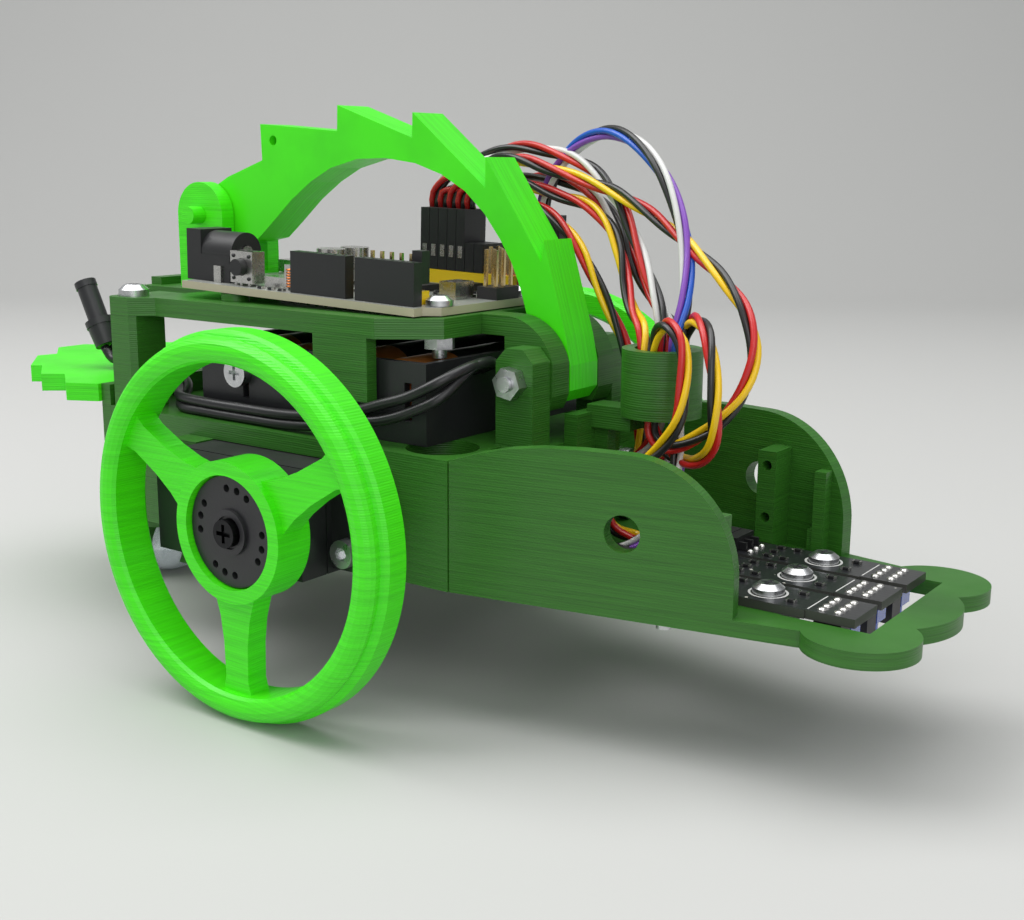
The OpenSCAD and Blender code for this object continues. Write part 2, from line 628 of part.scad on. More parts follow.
module reset_switch() {
    color(steel) at_frame() on_board() difference() {
        box(13.2, 19.8, -24.6, -21, 0.6, 7.3);
        bar_y(16.5, 4, 1.85, -26, -22);
    }
}
module reset_button() {
    color(black) at_frame() on_board() bar_y(16.5, 4, 1.75, -26.3, -22.4);
}
module regulator() {
    color(steel) at_frame() on_board() {
        box(21.4, 27.4, -22.6, -16.4, 0.02, 2.4);
        box(22, 26.8, -16.4, -14.2, 0.02, 1.2);
        bar_z(24.6, -14, 2.1, 0.02, 4.2);
        box(28.3, 30.9, -23.6, -18.4, 0.02, 5.4);
        // socket for the programming cable at the rear edge
        box(-1.2, 4.4, 3.6, 11.4, 0.02, 2.9);
    }
}
module capacitors() {
    color(steel) at_frame() on_board() for (y = [-8.5, -1]) {
        box(24.1, 30.5, y - 3.2, y + 3.2, 0.02, 0.9);
        bar_z(27.3, y, 3.15, 0.8, 7.9);
    }
}
module socket(x0, n, y) {
    difference() {
        box(x0, x0 + n * pitch, y - 1.25, y + 1.25, 0.02, 8.5);
        for (i = [0:n - 1]) translate([x0 + (i + 0.5) * pitch, y, 0]) box(-0.4, 0.4, -0.4, 0.4, 3, 9);
    }
}
module socket_headers() {
    color(black) at_frame() on_board() {
        socket(31.75, 6, -24.1);
        socket(49.5, 6, -24.1);
    }
}
module pin_strips() {
    color(black) at_frame() on_board() {
        box(row_x0, row_x0 + row_n * pitch, row_y[2] - 1.25, row_y[2] + 1.25, 0.02, 3);
        box(60.3, 60.3 + 4 * pitch - 2.2, 15.9, 18.4, 0.02, 2.5);
        box(60.6, 63.1, -21, -18.6, 4, 10.4);
        // shorting blocks on the last pins of the long header
        for (i = [5, 6]) box(row_x0 + i * pitch + 0.07, row_x0 + (i + 1) * pitch - 0.07,
            row_y[0] - 1.2, row_y[2] + 1.2, 3.1, 9.4);
    }
}
module header_yellow() {
    color([0.95, 0.78, 0.05]) at_frame() on_board() {
        box(row_x0, row_x0 + row_n * pitch, row_y[0] - 1.25, row_y[0] + 1.25, 0.02, 3);
        box(48, 63.1, -21.05, -18.6, 0.02, 2.6);
    }
}
module header_red() {
    color([0.8, 0.05, 0.04]) at_frame() on_board()
        box(row_x0, row_x0 + row_n * pitch, row_y[1] - 1.25, row_y[1] + 1.25, 0.02, 3);
}
module pin(x, y, z0, z1) { box(x - 0.32, x + 0.32, y - 0.32, y + 0.32, z0, z1); }
module gold_pins() {
    color([0.9, 0.75, 0.35]) at_frame() on_board() {
        for (i = [7:row_n - 1], y = row_y) pin(row_x0 + (i + 0.5) * pitch, y, 3.02, 9);
        for (i = [0:1], j = [0:2]) pin(64.6 + i * pitch, (j - 1) * pitch + 0.3, 2.55, 10);
        for (i = [0:4]) pin(49.3 + i * pitch, -19.8, 2.65, 9.6);
    }
}
module icsp_base() {
    color(black) at_frame() on_board() box(63.3, 68.4, -3.5, 4.1, 0.02, 2.5);
}
module crystal() {
    color(steel) at_frame() on_board() {
        box(57.6, 62.6, -9.6, -2.8, 0.02, 0.6);
        box(58, 62.2, -9.2, -3.2, 0.5, 3.5);
    }
}
module chip() {
    color(black) at_frame() on_board() {
        box(40, 49, -6.5, 2.5, 0.1, 1.4);
        box(10, 18, 11.8, 20.8, 0.1, 2);
        box(51, 55, 6, 9.5, 0.1, 1.6);
    }
}
module board_screws() {
    color(steel) at_frame() for (h = board_holes) pan_z(h[0], h[1], 2.8, 2, h[2] + 0.05, h[2] - 67.2);
}
module board_nuts() {
    color(steel) at_frame() for (h = board_holes) hex_z(h[0], h[1], 5.5, 1.5, lid_z0 - 2.45, lid_z0 - 0.05);
}
// plugs on the header: five three-way ones and a four-way one
plug_z0 = 3.1;
plug_z1 = 16.6;
// the first two points of a lead: just off its plug and straight out from it
function plug_exit(x, y) = [board_point([x, y, plug_z1 + 0.03]), board_point([x, y, plug_z1 + 3.2])];
function row_exit(i) = plug_exit(row_x0 + (i + 0.5) * pitch, row_y[1]);
function board_point(p) = [board_x + p[0] * cos(board_tilt) + p[2] * sin(board_tilt), p[1],
    board_z - p[0] * sin(board_tilt) + p[2] * cos(board_tilt)];
module lead_plugs() {
    color(black) at_frame() on_board() {
        for (i = [0:plug_n - 1]) box(row_x0 + i * pitch + 0.06, row_x0 + (i + 1) * pitch - 0.06,
            row_y[0] - 1.25, row_y[2] + 1.25, plug_z0, plug_z1);
        box(60.3, 60.3 + 4 * pitch - 0.4, 15.9, 18.4, 2.6, plug_z1);
    }
}

// ---------------------------------------------------------------- line sensors
pcb_z = nose_z + floor_t + 0.03;
module each_sensor() { at_frame() for (i = [-1:1]) translate([0, i * sensor_pitch, 0]) children(); }
module sensor_boards() {
    color([0.1, 0.1, 0.11]) each_sensor() difference() {
        union() {
            box(66, 96, -5.3, 5.3, pcb_z, pcb_z + 1.6);
            box(95, 105, -5, 5, pcb_z, pcb_z + 1.6);
        }
        bar_z(bar_x, 0, 1.6, 20, 40);
    }
}
module sensor_headers() {
    color(black) each_sensor() {
        box(67.6, 70.1, -3.81, 3.81, pcb_z + 1.65, pcb_z + 4.2);
        for (y = [-1:1]) box(69, 71.8, y * pitch - 0.32, y * pitch + 0.32, pcb_z + 1.65, pcb_z + 3.3);
    }
}
module sensor_plugs() {
    color(black) each_sensor() box(53.4, 67.5, -3.76, 3.76, pcb_z + 1.7, pcb_z + 4.25);
    // spare four-way plug lying on the nose floor
    color(black) at_frame() box(36.4, 50.4, -14, -4, nose_z + floor_t + 0.03, nose_z + floor_t + 2.6);
}
module sensor_eyes() { color(black) each_sensor() box(97.4, 102.4, -4.4, -0.25, 22.4, pcb_z - 0.03); }
module sensor_emitters() {
    color([0.15, 0.3, 0.75]) each_sensor() {
        box(97.4, 102.4, 0.25, 4.4, 24.6, pcb_z - 0.03);
        bar_z(99.9, 2.3, 1.9, 22.4, 24.7);
    }
}
module sensor_screws() { color(steel) each_sensor() pan_z(bar_x, 0, 2.9, 1.9, pcb_z + 1.62, 7.6); }

// ---------------------------------------------------------------- leads
lead_r = 1.45;
jumper_r = 1.6;
plug_tail = [53.3, 0, pcb_z + 3];
// each lead starts on its plug on the board, a few pass through the ring, and ends in a sensor's plug
route_a = concat(row_exit(2), [[-3, 17.3, 102.4], [4, 16, 105], [12, 14.5, 105.6],
    [20, 14, 103.8], [29, 13.5, 101.6], [38, 12, 99.2], [47, 10, 95.6], [55, 7.5, 91.6],
    [62, 5, 87.6], [68.5, 2.5, 83.5], [74, 0, 78.5], [77, -2, 72.5], [76.5, -3.5, 65.5],
    [73, -5, 59.5], [67.5, -5.5, 55], [61.5, -5, 52.6], [57.6, -4, 54.5], [57, -3.4, 60],
    [57.3, -3.4, 68], [58.6, -4.8, 73.6], [62, -7.5, 76], [66, -9.3, 73.5], [67.4, -10.2, 67],
    [66.8, -10.8, 59.5], [63, -11, 53], [57, -11.3, 48], [50, -12, 43], [45.5, -12.2, 37.6],
    [47.6, -12.1, 33.4]], [plug_tail + [0, -sensor_pitch, 0]]);
route_b = concat(row_exit(3), [[0, 17.6, 101], [7, 16.4, 101.8], [14, 15.4, 100.4],
    [22, 14.5, 98.4], [30, 13.5, 96.6], [36.4, 12, 93], [40.8, 10, 87.6], [44, 7.5, 81.5],
    [47.8, 4, 76.6], [52.4, 0.2, 73.4], [53.9, -1.4, 68], [53.9, -1.4, 60], [56, -0.5, 54],
    [61, -1.5, 50.2], [67.5, -5, 50.4], [72.5, -8.4, 54.6], [73.6, -9.6, 61.5], [72.6, -9, 68.5],
    [69.6, -6, 74.6], [64.6, -1.4, 76.6], [60.8, 1.6, 73], [60, 1.8, 67], [60, 1.8, 59],
    [57.6, 1.6, 51.5], [50.6, 0.4, 45.4], [45, -0.4, 39.4], [46.8, 0, 33.6]], [plug_tail]);
route_c = concat(row_exit(4), [[3, 17.4, 98.6], [11, 15.6, 97.6], [19, 13.6, 95.4],
    [26, 11.6, 92], [31.6, 10.2, 87], [36, 9.2, 81], [40, 8.8, 75], [43.4, 8.8, 68.5],
    [45.6, 9, 61.5], [46.6, 9.6, 54.5], [46, 11, 47], [44.6, 12, 39.8], [46.8, 12.1, 33.8]],
    [plug_tail + [0, sensor_pitch, 0]]);
route_d = concat(row_exit(0), [[-9, 17.4, 102], [-1, 17, 105], [9, 17.6, 108],
    [20, 17, 107], [30, 15.6, 103.8], [38, 13.6, 97.4], [44, 11, 89.6], [49.6, 7.4, 82.4],
    [54, 4.4, 75.6], [55.2, 3.4, 68], [55.2, 3.4, 59], [52.6, 3.6, 50.4], [46, 1.6, 45],
    [37.6, -3.4, 41.6], [28, -10, 39.4], [19, -16.4, 37.6], [11.8, -17.7, 37.5]]);
route_e = concat(row_exit(1), [[-6, 18.6, 99.2], [2, 20, 100.6], [11, 20.4, 101.6],
    [20, 19.4, 101.4], [29, 18, 98.6], [36.6, 15.6, 92.8], [42.4, 12.6, 85.6], [49, 9.4, 78.8],
    [56, 5.6, 74], [58.3, 4, 68], [58.3, 4, 59], [56.4, 5.4, 50], [49, 6.4, 42.6], [38, 7, 39.6],
    [31, 8.6, 38.8], [24, 12.6, 38.2], [19, 17, 37.6], [11.8, 17.7, 37.5]]);
route_j = concat(plug_exit(65.2, 17.1),
    [[20.5, 17.8, 104], [26.5, 17.2, 109],
    [34, 15.6, 111], [42, 13, 109], [49.4, 10.4, 103.6], [55, 7.8, 96], [58.6, 5.2, 88],
    [60.8, 1.4, 80], [60.7, -1.3, 72], [60.6, -1.4, 64], [61.6, -2, 56], [63, -4, 47], [61.4, -6.4, 38.4],
    [56.8, -8.4, 33.2]], [[50.5, -9, 30.4]]);
module sensor_lead_a() { color([0.95, 0.75, 0.05]) at_frame() tube(route_a, lead_r); }
module sensor_lead_b() { color([0.75, 0.05, 0.05]) at_frame() tube(route_b, lead_r); }
module sensor_lead_c() { color(black) at_frame() tube(route_c, lead_r); }
module servo_leads() {
    color([0.85, 0.85, 0.83]) at_frame() {
        tube(route_d, lead_r);
        tube(route_e, lead_r);
    }
}
module jumper_lead() { color([0.3, 0.2, 0.6]) at_frame() tube(route_j, jumper_r); }

chassis();
caster_bracket();
marble();
tail();
rear_screws();
nose();
cable_ring();
wheel_right();
wheel_left();
horn_right();
horn_left();
horn_screw_right();
horn_screw_left();
servo_right();
servo_left();
servo_screws();
lid();
lid_screws();
hinge_bolt();
hinge_nut();
crest();
crest_clevis();
clevis_pin();
clevis_screws();
battery_holder();
battery_cells();
battery_screw();
battery_lead();
barrel_plug();
board_pcb();
dc_jack();
jack_pin();
reset_switch();
reset_button();
regulator();
capacitors();
socket_headers();
pin_strips();
gold_pins();
header_yellow();
header_red();
icsp_base();
crystal();
chip();
board_screws();
board_nuts();
lead_plugs();
nose_bolts();
nose_nuts();
sensor_boards();
sensor_eyes();
sensor_emitters();
sensor_headers();
sensor_plugs();
sensor_screws();
sensor_lead_a();
sensor_lead_b();
sensor_lead_c();
servo_leads();
jumper_lead();
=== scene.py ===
"""Looks of a line follower robot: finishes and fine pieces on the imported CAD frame, camera, light."""

from __future__ import annotations

import json
import logging
import math
from dataclasses import dataclass
from enum import Enum

import bmesh
import bpy
from mathutils import Matrix, Vector

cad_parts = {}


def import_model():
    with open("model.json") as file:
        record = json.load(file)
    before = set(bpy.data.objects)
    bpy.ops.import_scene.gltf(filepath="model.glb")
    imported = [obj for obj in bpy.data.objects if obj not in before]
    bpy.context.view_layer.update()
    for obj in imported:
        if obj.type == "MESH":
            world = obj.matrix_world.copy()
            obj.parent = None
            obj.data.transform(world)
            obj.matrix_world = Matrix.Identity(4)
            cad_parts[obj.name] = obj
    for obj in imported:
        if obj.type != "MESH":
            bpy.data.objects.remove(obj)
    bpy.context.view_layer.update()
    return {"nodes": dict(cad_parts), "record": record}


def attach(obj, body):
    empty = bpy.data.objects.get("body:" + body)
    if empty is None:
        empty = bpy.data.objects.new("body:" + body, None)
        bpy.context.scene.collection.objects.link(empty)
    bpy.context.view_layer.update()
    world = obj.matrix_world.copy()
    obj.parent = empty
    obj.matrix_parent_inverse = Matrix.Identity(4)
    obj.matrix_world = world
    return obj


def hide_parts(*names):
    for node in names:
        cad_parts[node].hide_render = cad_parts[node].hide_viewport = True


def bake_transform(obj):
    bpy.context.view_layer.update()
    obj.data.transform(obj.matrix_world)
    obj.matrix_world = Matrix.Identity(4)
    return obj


logging.basicConfig(level=logging.INFO, format="%(message)s")
log = logging.getLogger("robot")

MM = 0.001
SHIFT_X = 4.25  # the wheel axle stands this far in front of the origin, in mm
CHASSIS, LID = "chassis_body", "lid_body"
BOARD_X, BOARD_Z, BOARD_TILT = -48.3, 79.35, math.radians(1.6)
PCB_TOP = 30.63  # upper face of the sensor boards
SENSOR_PITCH = 12.07
ROW_Y = 17.74  # middle row of the lead header
PIN_PITCH = 2.54
HEADER_X = 33.6  # rear end of the lead header, on the board
HEADER_ROWS = (15.2, ROW_Y, 20.28)
HEADER_COLUMNS = 10
PLUG_TOP = 16.6  # top of the lead plugs, above the board
SCREW_X = 86.8  # the screw of each sensor board
VIEW_TURN, VIEW_DIP, VIEW_ROLL = math.radians(35.91), math.radians(12.45), math.radians(0.38)
LIME_COLOUR, LIME_DEEP = (0.055, 0.74, 0.002), (0.042, 0.60, 0.002)

Points = list[Vector]


def at(x: float, y: float, z: float) -> Vector:
    """A point given in mm from the wheel axle's middle on the ground, in metres in the frame.

    Args:
        x, y, z: Millimetres; X forwards, Z up.

    Returns:
        The same point in the row frame.
    """
    return Vector((x + SHIFT_X, y, z)) * MM


def on_board(x: float, y: float, z: float) -> Vector:
    """A point given in mm in the controller board's own frame, in metres in the row frame.

    Args:
        x: From the board's rear edge.
        y: From the robot's middle plane.
        z: Above the board's upper face.

    Returns:
        The same point in the row frame.
    """
    c, s = math.cos(BOARD_TILT), math.sin(BOARD_TILT)
    return at(BOARD_X + x * c + z * s, y, BOARD_Z - x * s + z * c)


class Layers(Enum):
    """The direction that a printed part was built up in."""

    UP = (0.0, 0.0, 0.0)
    SIDEWAYS = (math.pi / 2, 0.0, 0.0)


# ------------------------------------------------------------------ finishes
@dataclass(frozen=True)
class Printed:
    """Layered 3D print: fine ridges, broader streaks, slight gloss changes and, where set, a painted glow in
    its own colour.
    """

    name: str
    slot: str
    colour: tuple[float, float, float]
    deep: tuple[float, float, float]
    layers: Layers = Layers.UP
    # Emission strength in the print's own colour: a painted glow that lightens the part as if more light
    # fell on it.
    painted_glow: float = 0.0
    rough: float = 0.42

    def make(self) -> bpy.types.Material:
        """Builds the material.

        Returns:
            The finished material.
        """
        mat = bpy.data.materials.new(self.name)
        mat.use_nodes = True
        nodes, links = mat.node_tree.nodes, mat.node_tree.links
        nodes.clear()
        out = nodes.new("ShaderNodeOutputMaterial")
        out.location, out.label = (900, 0), "Surface"
        skin = nodes.new("ShaderNodeBsdfPrincipled")
        skin.location, skin.label = (620, 0), "Printed plastic"
        where = nodes.new("ShaderNodeTexCoord")
        where.location, where.label = (-1200, 0), "Place on the part"
        ridge_frame = nodes.new("NodeFrame")
        ridge_frame.label = "Layer ridges"
        turn = nodes.new("ShaderNodeMapping")
        turn.location, turn.label = (-1000, 0), "Millimetres, layers along Z"
        turn.inputs["Rotation"].default_value = self.layers.value
        turn.inputs["Scale"].default_value = (1000, 1000, 1000)
        wave = nodes.new("ShaderNodeTexWave")
        wave.location, wave.label = (-700, 250), "One ridge a layer"
        wave.wave_type, wave.bands_direction = "BANDS", "Z"
        wave.inputs["Scale"].default_value = 0.314 / 0.45
        wave.inputs["Distortion"].default_value = 0.35
        wave.inputs["Detail"].default_value = 1.0
        stretch = nodes.new("ShaderNodeMapping")
        stretch.location, stretch.label = (-900, -250), "Long along each layer"
        stretch.inputs["Scale"].default_value = (0.035, 0.035, 1.3)
        streak = nodes.new("ShaderNodeTexNoise")
        streak.location, streak.label = (-700, -250), "Uneven layers"
        streak.inputs["Scale"].default_value = 1.6
        streak.inputs["Detail"].default_value = 4.0
        blotch = nodes.new("ShaderNodeTexNoise")
        blotch.location, blotch.label = (-700, -500), "Cooling blotches"
        blotch.inputs["Scale"].default_value = 0.14
        blotch.inputs["Detail"].default_value = 3.0
        tone_frame = nodes.new("NodeFrame")
        tone_frame.label = "Colour and gloss"
        tone = nodes.new("ShaderNodeMix")
        tone.location, tone.label, tone.data_type = (250, 150), "Layer tone", "RGBA"
        tone.inputs["A"].default_value = (*self.deep, 1)
        tone.inputs["B"].default_value = (*self.colour, 1)
        spread = nodes.new("ShaderNodeMapRange")
        spread.location, spread.label = (20, -200), "Tone range"
        spread.inputs["From Min"].default_value = 0.3
        spread.inputs["From Max"].default_value = 0.62
        gloss = nodes.new("ShaderNodeMapRange")
        gloss.location, gloss.label = (250, -450), "Gloss range"
        gloss.inputs["To Min"].default_value = self.rough - 0.1
        gloss.inputs["To Max"].default_value = self.rough + 0.12
        relief = nodes.new("ShaderNodeMath")
        relief.location, relief.label, relief.operation = (-300, 150), "Ridges and streaks", "MULTIPLY_ADD"
        relief.inputs[1].default_value = 0.35
        bump = nodes.new("ShaderNodeBump")
        bump.location, bump.label = (380, -150), "Layer relief"
        bump.inputs["Strength"].default_value = 0.42
        bump.inputs["Distance"].default_value = 0.00018
        for node in (turn, wave, stretch, streak, blotch, relief, bump):
            node.parent = ridge_frame
        for node in (tone, spread, gloss):
            node.parent = tone_frame
        links.new(where.outputs["Object"], turn.inputs["Vector"])
        links.new(turn.outputs["Vector"], wave.inputs["Vector"])
        links.new(turn.outputs["Vector"], stretch.inputs["Vector"])
        links.new(stretch.outputs["Vector"], streak.inputs["Vector"])
        links.new(turn.outputs["Vector"], blotch.inputs["Vector"])
        links.new(wave.outputs["Fac"], relief.inputs[0])
        links.new(streak.outputs["Fac"], relief.inputs[2])
        links.new(relief.outputs["Value"], bump.inputs["Height"])
        links.new(streak.outputs["Fac"], spread.inputs["Value"])
        links.new(spread.outputs["Result"], tone.inputs["Factor"])
        links.new(blotch.outputs["Fac"], gloss.inputs["Value"])
        links.new(tone.outputs["Result"], skin.inputs["Base Color"])
        links.new(gloss.outputs["Result"], skin.inputs["Roughness"])
        links.new(bump.outputs["Normal"], skin.inputs["Normal"])
        skin.inputs["Subsurface Weight"].default_value = 0.06
        skin.inputs["Subsurface Scale"].default_value = 0.0012
        skin.inputs["Subsurface Radius"].default_value = (0.5, 1.0, 0.2)
        # Painted glow: the print emits its own colour, though it is no lamp.
        skin.inputs["Emission Color"].default_value = (*self.colour, 1)
        skin.inputs["Emission Strength"].default_value = self.painted_glow
        links.new(skin.outputs["BSDF"], out.inputs["Surface"])
        return mat


@dataclass(frozen=True)
class Moulded:
    """Injection moulded plastic, resin, rubber or sheath: fine grain, dust and rubbed gloss."""

    name: str
    slot: str
    colour: tuple[float, float, float]
    rough: float = 0.45
    grain_mm: float = 0.12
    relief: float = 0.12
    dust: float = 0.05
    coat: float = 0.0

    def make(self) -> bpy.types.Material:
        """Builds the material.

        Returns:
            The finished material.
        """
        mat = bpy.data.materials.new(self.name)
        mat.use_nodes = True
        nodes, links = mat.node_tree.nodes, mat.node_tree.links
        nodes.clear()
        out = nodes.new("ShaderNodeOutputMaterial")
        out.location, out.label = (700, 0), "Surface"
        skin = nodes.new("ShaderNodeBsdfPrincipled")
        skin.location, skin.label = (420, 0), "Moulded plastic"
        where = nodes.new("ShaderNodeTexCoord")
        where.location, where.label = (-1000, 0), "Place on the part"
        grain = nodes.new("ShaderNodeTexNoise")
        grain.location, grain.label = (-700, -250), "Mould grain"
        grain.inputs["Scale"].default_value = 1 / (self.grain_mm * 3 * MM)
        grain.inputs["Detail"].default_value = 2.0
        patch = nodes.new("ShaderNodeTexNoise")
        patch.location, patch.label = (-700, 100), "Handling marks"
        patch.inputs["Scale"].default_value = 120.0
        patch.inputs["Detail"].default_value = 5.0
        facing = nodes.new("ShaderNodeNewGeometry")
        facing.location, facing.label = (-1000, 350), "Which way it faces"
        split = nodes.new("ShaderNodeSeparateXYZ")
        split.location, split.label = (-820, 350), "How far up"
        lying = nodes.new("ShaderNodeMath")
        lying.location, lying.label, lying.operation = (-460, 300), "Dust on top faces", "MULTIPLY"
        lying.use_clamp = True
        amount = nodes.new("ShaderNodeMath")
        amount.location, amount.label, amount.operation = (-260, 300), "Dust amount", "MULTIPLY"
        amount.inputs[1].default_value = self.dust
        tone = nodes.new("ShaderNodeMix")
        tone.location, tone.label, tone.data_type = (150, 200), "Dust over colour", "RGBA"
        tone.inputs["A"].default_value = (*self.colour, 1)
        tone.inputs["B"].default_value = (0.42, 0.42, 0.4, 1)
        gloss = nodes.new("ShaderNodeMapRange")
        gloss.location, gloss.label = (150, -60), "Gloss range"
        gloss.inputs["To Min"].default_value = max(0.05, self.rough - 0.12)
        gloss.inputs["To Max"].default_value = self.rough + 0.12
        bump = nodes.new("ShaderNodeBump")
        bump.location, bump.label = (150, -300), "Grain relief"
        bump.inputs["Strength"].default_value = self.relief
        bump.inputs["Distance"].default_value = 0.0001
        links.new(where.outputs["Object"], grain.inputs["Vector"])
        links.new(where.outputs["Object"], patch.inputs["Vector"])
        links.new(facing.outputs["Normal"], split.inputs["Vector"])
        links.new(split.outputs["Z"], lying.inputs[0])
        links.new(patch.outputs["Fac"], lying.inputs[1])
        links.new(lying.outputs["Value"], amount.inputs[0])
        links.new(amount.outputs["Value"], tone.inputs["Factor"])
        links.new(patch.outputs["Fac"], gloss.inputs["Value"])
        links.new(grain.outputs["Fac"], bump.inputs["Height"])
        links.new(tone.outputs["Result"], skin.inputs["Base Color"])
        links.new(gloss.outputs["Result"], skin.inputs["Roughness"])
        links.new(bump.outputs["Normal"], skin.inputs["Normal"])
        skin.inputs["Coat Weight"].default_value = self.coat
        skin.inputs["Coat Roughness"].default_value = 0.15
        links.new(skin.outputs["BSDF"], out.inputs["Surface"])
        return mat


@dataclass(frozen=True)
class Metal:
    """Plated metal: brushed streaks, faint stains and fine scratches."""

    name: str
    slot: str
    colour: tuple[float, float, float]
    rough: float = 0.24
    streak: tuple[float, float, float] = (300.0, 300.0, 2600.0)

    def make(self) -> bpy.types.Material:
        """Builds the material.

        Returns:
            The finished material.
        """
        mat = bpy.data.materials.new(self.name)
        mat.use_nodes = True
        nodes, links = mat.node_tree.nodes, mat.node_tree.links
        nodes.clear()
        out = nodes.new("ShaderNodeOutputMaterial")
        out.location, out.label = (700, 0), "Surface"
        skin = nodes.new("ShaderNodeBsdfPrincipled")
        skin.location, skin.label = (420, 0), "Plated metal"
        skin.inputs["Metallic"].default_value = 1.0
        where = nodes.new("ShaderNodeTexCoord")
        where.location, where.label = (-900, 0), "Place on the part"
        brush = nodes.new("ShaderNodeMapping")
        brush.location, brush.label = (-700, -200), "Brushing direction"
        brush.inputs["Scale"].default_value = self.streak
        lines = nodes.new("ShaderNodeTexNoise")
        lines.location, lines.label = (-480, -200), "Fine scratches"
        lines.inputs["Scale"].default_value = 1.0
        lines.inputs["Detail"].default_value = 3.0
        stain = nodes.new("ShaderNodeTexNoise")
        stain.location, stain.label = (-480, 150), "Plating stains"
        stain.inputs["Scale"].default_value = 700.0
        stain.inputs["Detail"].default_value = 4.0
        tone = nodes.new("ShaderNodeMix")
        tone.location, tone.label, tone.data_type = (120, 200), "Stained colour", "RGBA"
        tone.inputs["A"].default_value = (*self.colour, 1)
        tone.inputs["B"].default_value = (*[c * 0.72 for c in self.colour], 1)
        gloss = nodes.new("ShaderNodeMapRange")
        gloss.location, gloss.label = (120, -50), "Gloss range"
        gloss.inputs["To Min"].default_value = max(0.06, self.rough - 0.1)
        gloss.inputs["To Max"].default_value = self.rough + 0.18
        bump = nodes.new("ShaderNodeBump")
        bump.location, bump.label = (120, -300), "Scratch relief"
        bump.inputs["Strength"].default_value = 0.12
        bump.inputs["Distance"].default_value = 0.00006
        links.new(where.outputs["Object"], brush.inputs["Vector"])
        links.new(brush.outputs["Vector"], lines.inputs["Vector"])
        links.new(where.outputs["Object"], stain.inputs["Vector"])
        links.new(stain.outputs["Fac"], tone.inputs["Factor"])
        links.new(stain.outputs["Fac"], gloss.inputs["Value"])
        links.new(lines.outputs["Fac"], bump.inputs["Height"])
        links.new(tone.outputs["Result"], skin.inputs["Base Color"])
        links.new(gloss.outputs["Result"], skin.inputs["Roughness"])
        links.new(bump.outputs["Normal"], skin.inputs["Normal"])
        links.new(skin.outputs["BSDF"], out.inputs["Surface"])
        return mat


@dataclass(frozen=True)
class Board:
    """Coated circuit board: copper tracks under the lacquer, tinned vias, bare fibre at the edge."""

    name: str
    slot: str
    lacquer: tuple[float, float, float]
    track: tuple[float, float, float]
    edge: tuple[float, float, float]

    def make(self) -> bpy.types.Material:
        """Builds the material.

        Returns:
            The finished material.
        """
        mat = bpy.data.materials.new(self.name)
        mat.use_nodes = True
        nodes, links = mat.node_tree.nodes, mat.node_tree.links
        nodes.clear()
        out = nodes.new("ShaderNodeOutputMaterial")
        out.location, out.label = (900, 0), "Surface"
        skin = nodes.new("ShaderNodeBsdfPrincipled")
        skin.location, skin.label = (640, 0), "Lacquered board"
        skin.inputs["Roughness"].default_value = 0.36
        skin.inputs["Coat Weight"].default_value = 0.3
        where = nodes.new("ShaderNodeTexCoord")
        where.location, where.label = (-1000, 0), "Place on the board"
        grid = nodes.new("ShaderNodeMapping")
        grid.location, grid.label = (-800, 100), "Track grid"
        grid.inputs["Scale"].default_value = (330, 330, 1)
        bricks = nodes.new("ShaderNodeTexBrick")
        bricks.location, bricks.label = (-560, 100), "Copper tracks"
        bricks.inputs["Scale"].default_value = 1.0
        bricks.inputs["Mortar Size"].default_value = 0.035
        bricks.inputs["Brick Width"].default_value = 2.7
        bricks.inputs["Row Height"].default_value = 0.42
        bricks.inputs["Color1"].default_value = (0, 0, 0, 1)
        bricks.inputs["Color2"].default_value = (0, 0, 0, 1)
        bricks.inputs["Mortar"].default_value = (1, 1, 1, 1)
        dots = nodes.new("ShaderNodeTexVoronoi")
        dots.location, dots.label = (-560, -250), "Vias"
        dots.inputs["Scale"].default_value = 320.0
        ring = nodes.new("ShaderNodeMath")
        ring.location, ring.label, ring.operation = (-320, -250), "Via discs", "LESS_THAN"
        ring.inputs[1].default_value = 0.1
        lines = nodes.new("ShaderNodeMix")
        lines.location, lines.label, lines.data_type = (-100, 200), "Tracks under lacquer", "RGBA"
        lines.inputs["A"].default_value = (*self.lacquer, 1)
        lines.inputs["B"].default_value = (*self.track, 1)
        spots = nodes.new("ShaderNodeMix")
        spots.location, spots.label, spots.data_type = (120, 100), "Tinned vias", "RGBA"
        spots.inputs["B"].default_value = (0.7, 0.68, 0.6, 1)
        facing = nodes.new("ShaderNodeNewGeometry")
        facing.location, facing.label = (-320, -500), "Which way it faces"
        split = nodes.new("ShaderNodeSeparateXYZ")
        split.location, split.label = (-120, -500), "Normal parts"
        flat = nodes.new("ShaderNodeMath")
        flat.location, flat.label, flat.operation = (60, -500), "Up or down", "ABSOLUTE"
        rim = nodes.new("ShaderNodeMath")
        rim.location, rim.label, rim.operation = (220, -500), "Cut edge", "LESS_THAN"
        rim.inputs[1].default_value = 0.5
        face = nodes.new("ShaderNodeMix")
        face.location, face.label, face.data_type = (400, 100), "Edge or face", "RGBA"
        face.inputs["B"].default_value = (*self.edge, 1)
        links.new(where.outputs["Object"], grid.inputs["Vector"])
        links.new(grid.outputs["Vector"], bricks.inputs["Vector"])
        links.new(where.outputs["Object"], dots.inputs["Vector"])
        links.new(dots.outputs["Distance"], ring.inputs[0])
        links.new(bricks.outputs["Color"], lines.inputs["Factor"])
        links.new(lines.outputs["Result"], spots.inputs["A"])
        links.new(ring.outputs["Value"], spots.inputs["Factor"])
        links.new(facing.outputs["Normal"], split.inputs["Vector"])
        links.new(split.outputs["Z"], flat.inputs[0])
        links.new(flat.outputs["Value"], rim.inputs[0])
        links.new(spots.outputs["Result"], face.inputs["A"])
        links.new(rim.outputs["Value"], face.inputs["Factor"])
        links.new(face.outputs["Result"], skin.inputs["Base Color"])
        links.new(skin.outputs["BSDF"], out.inputs["Surface"])
        return mat


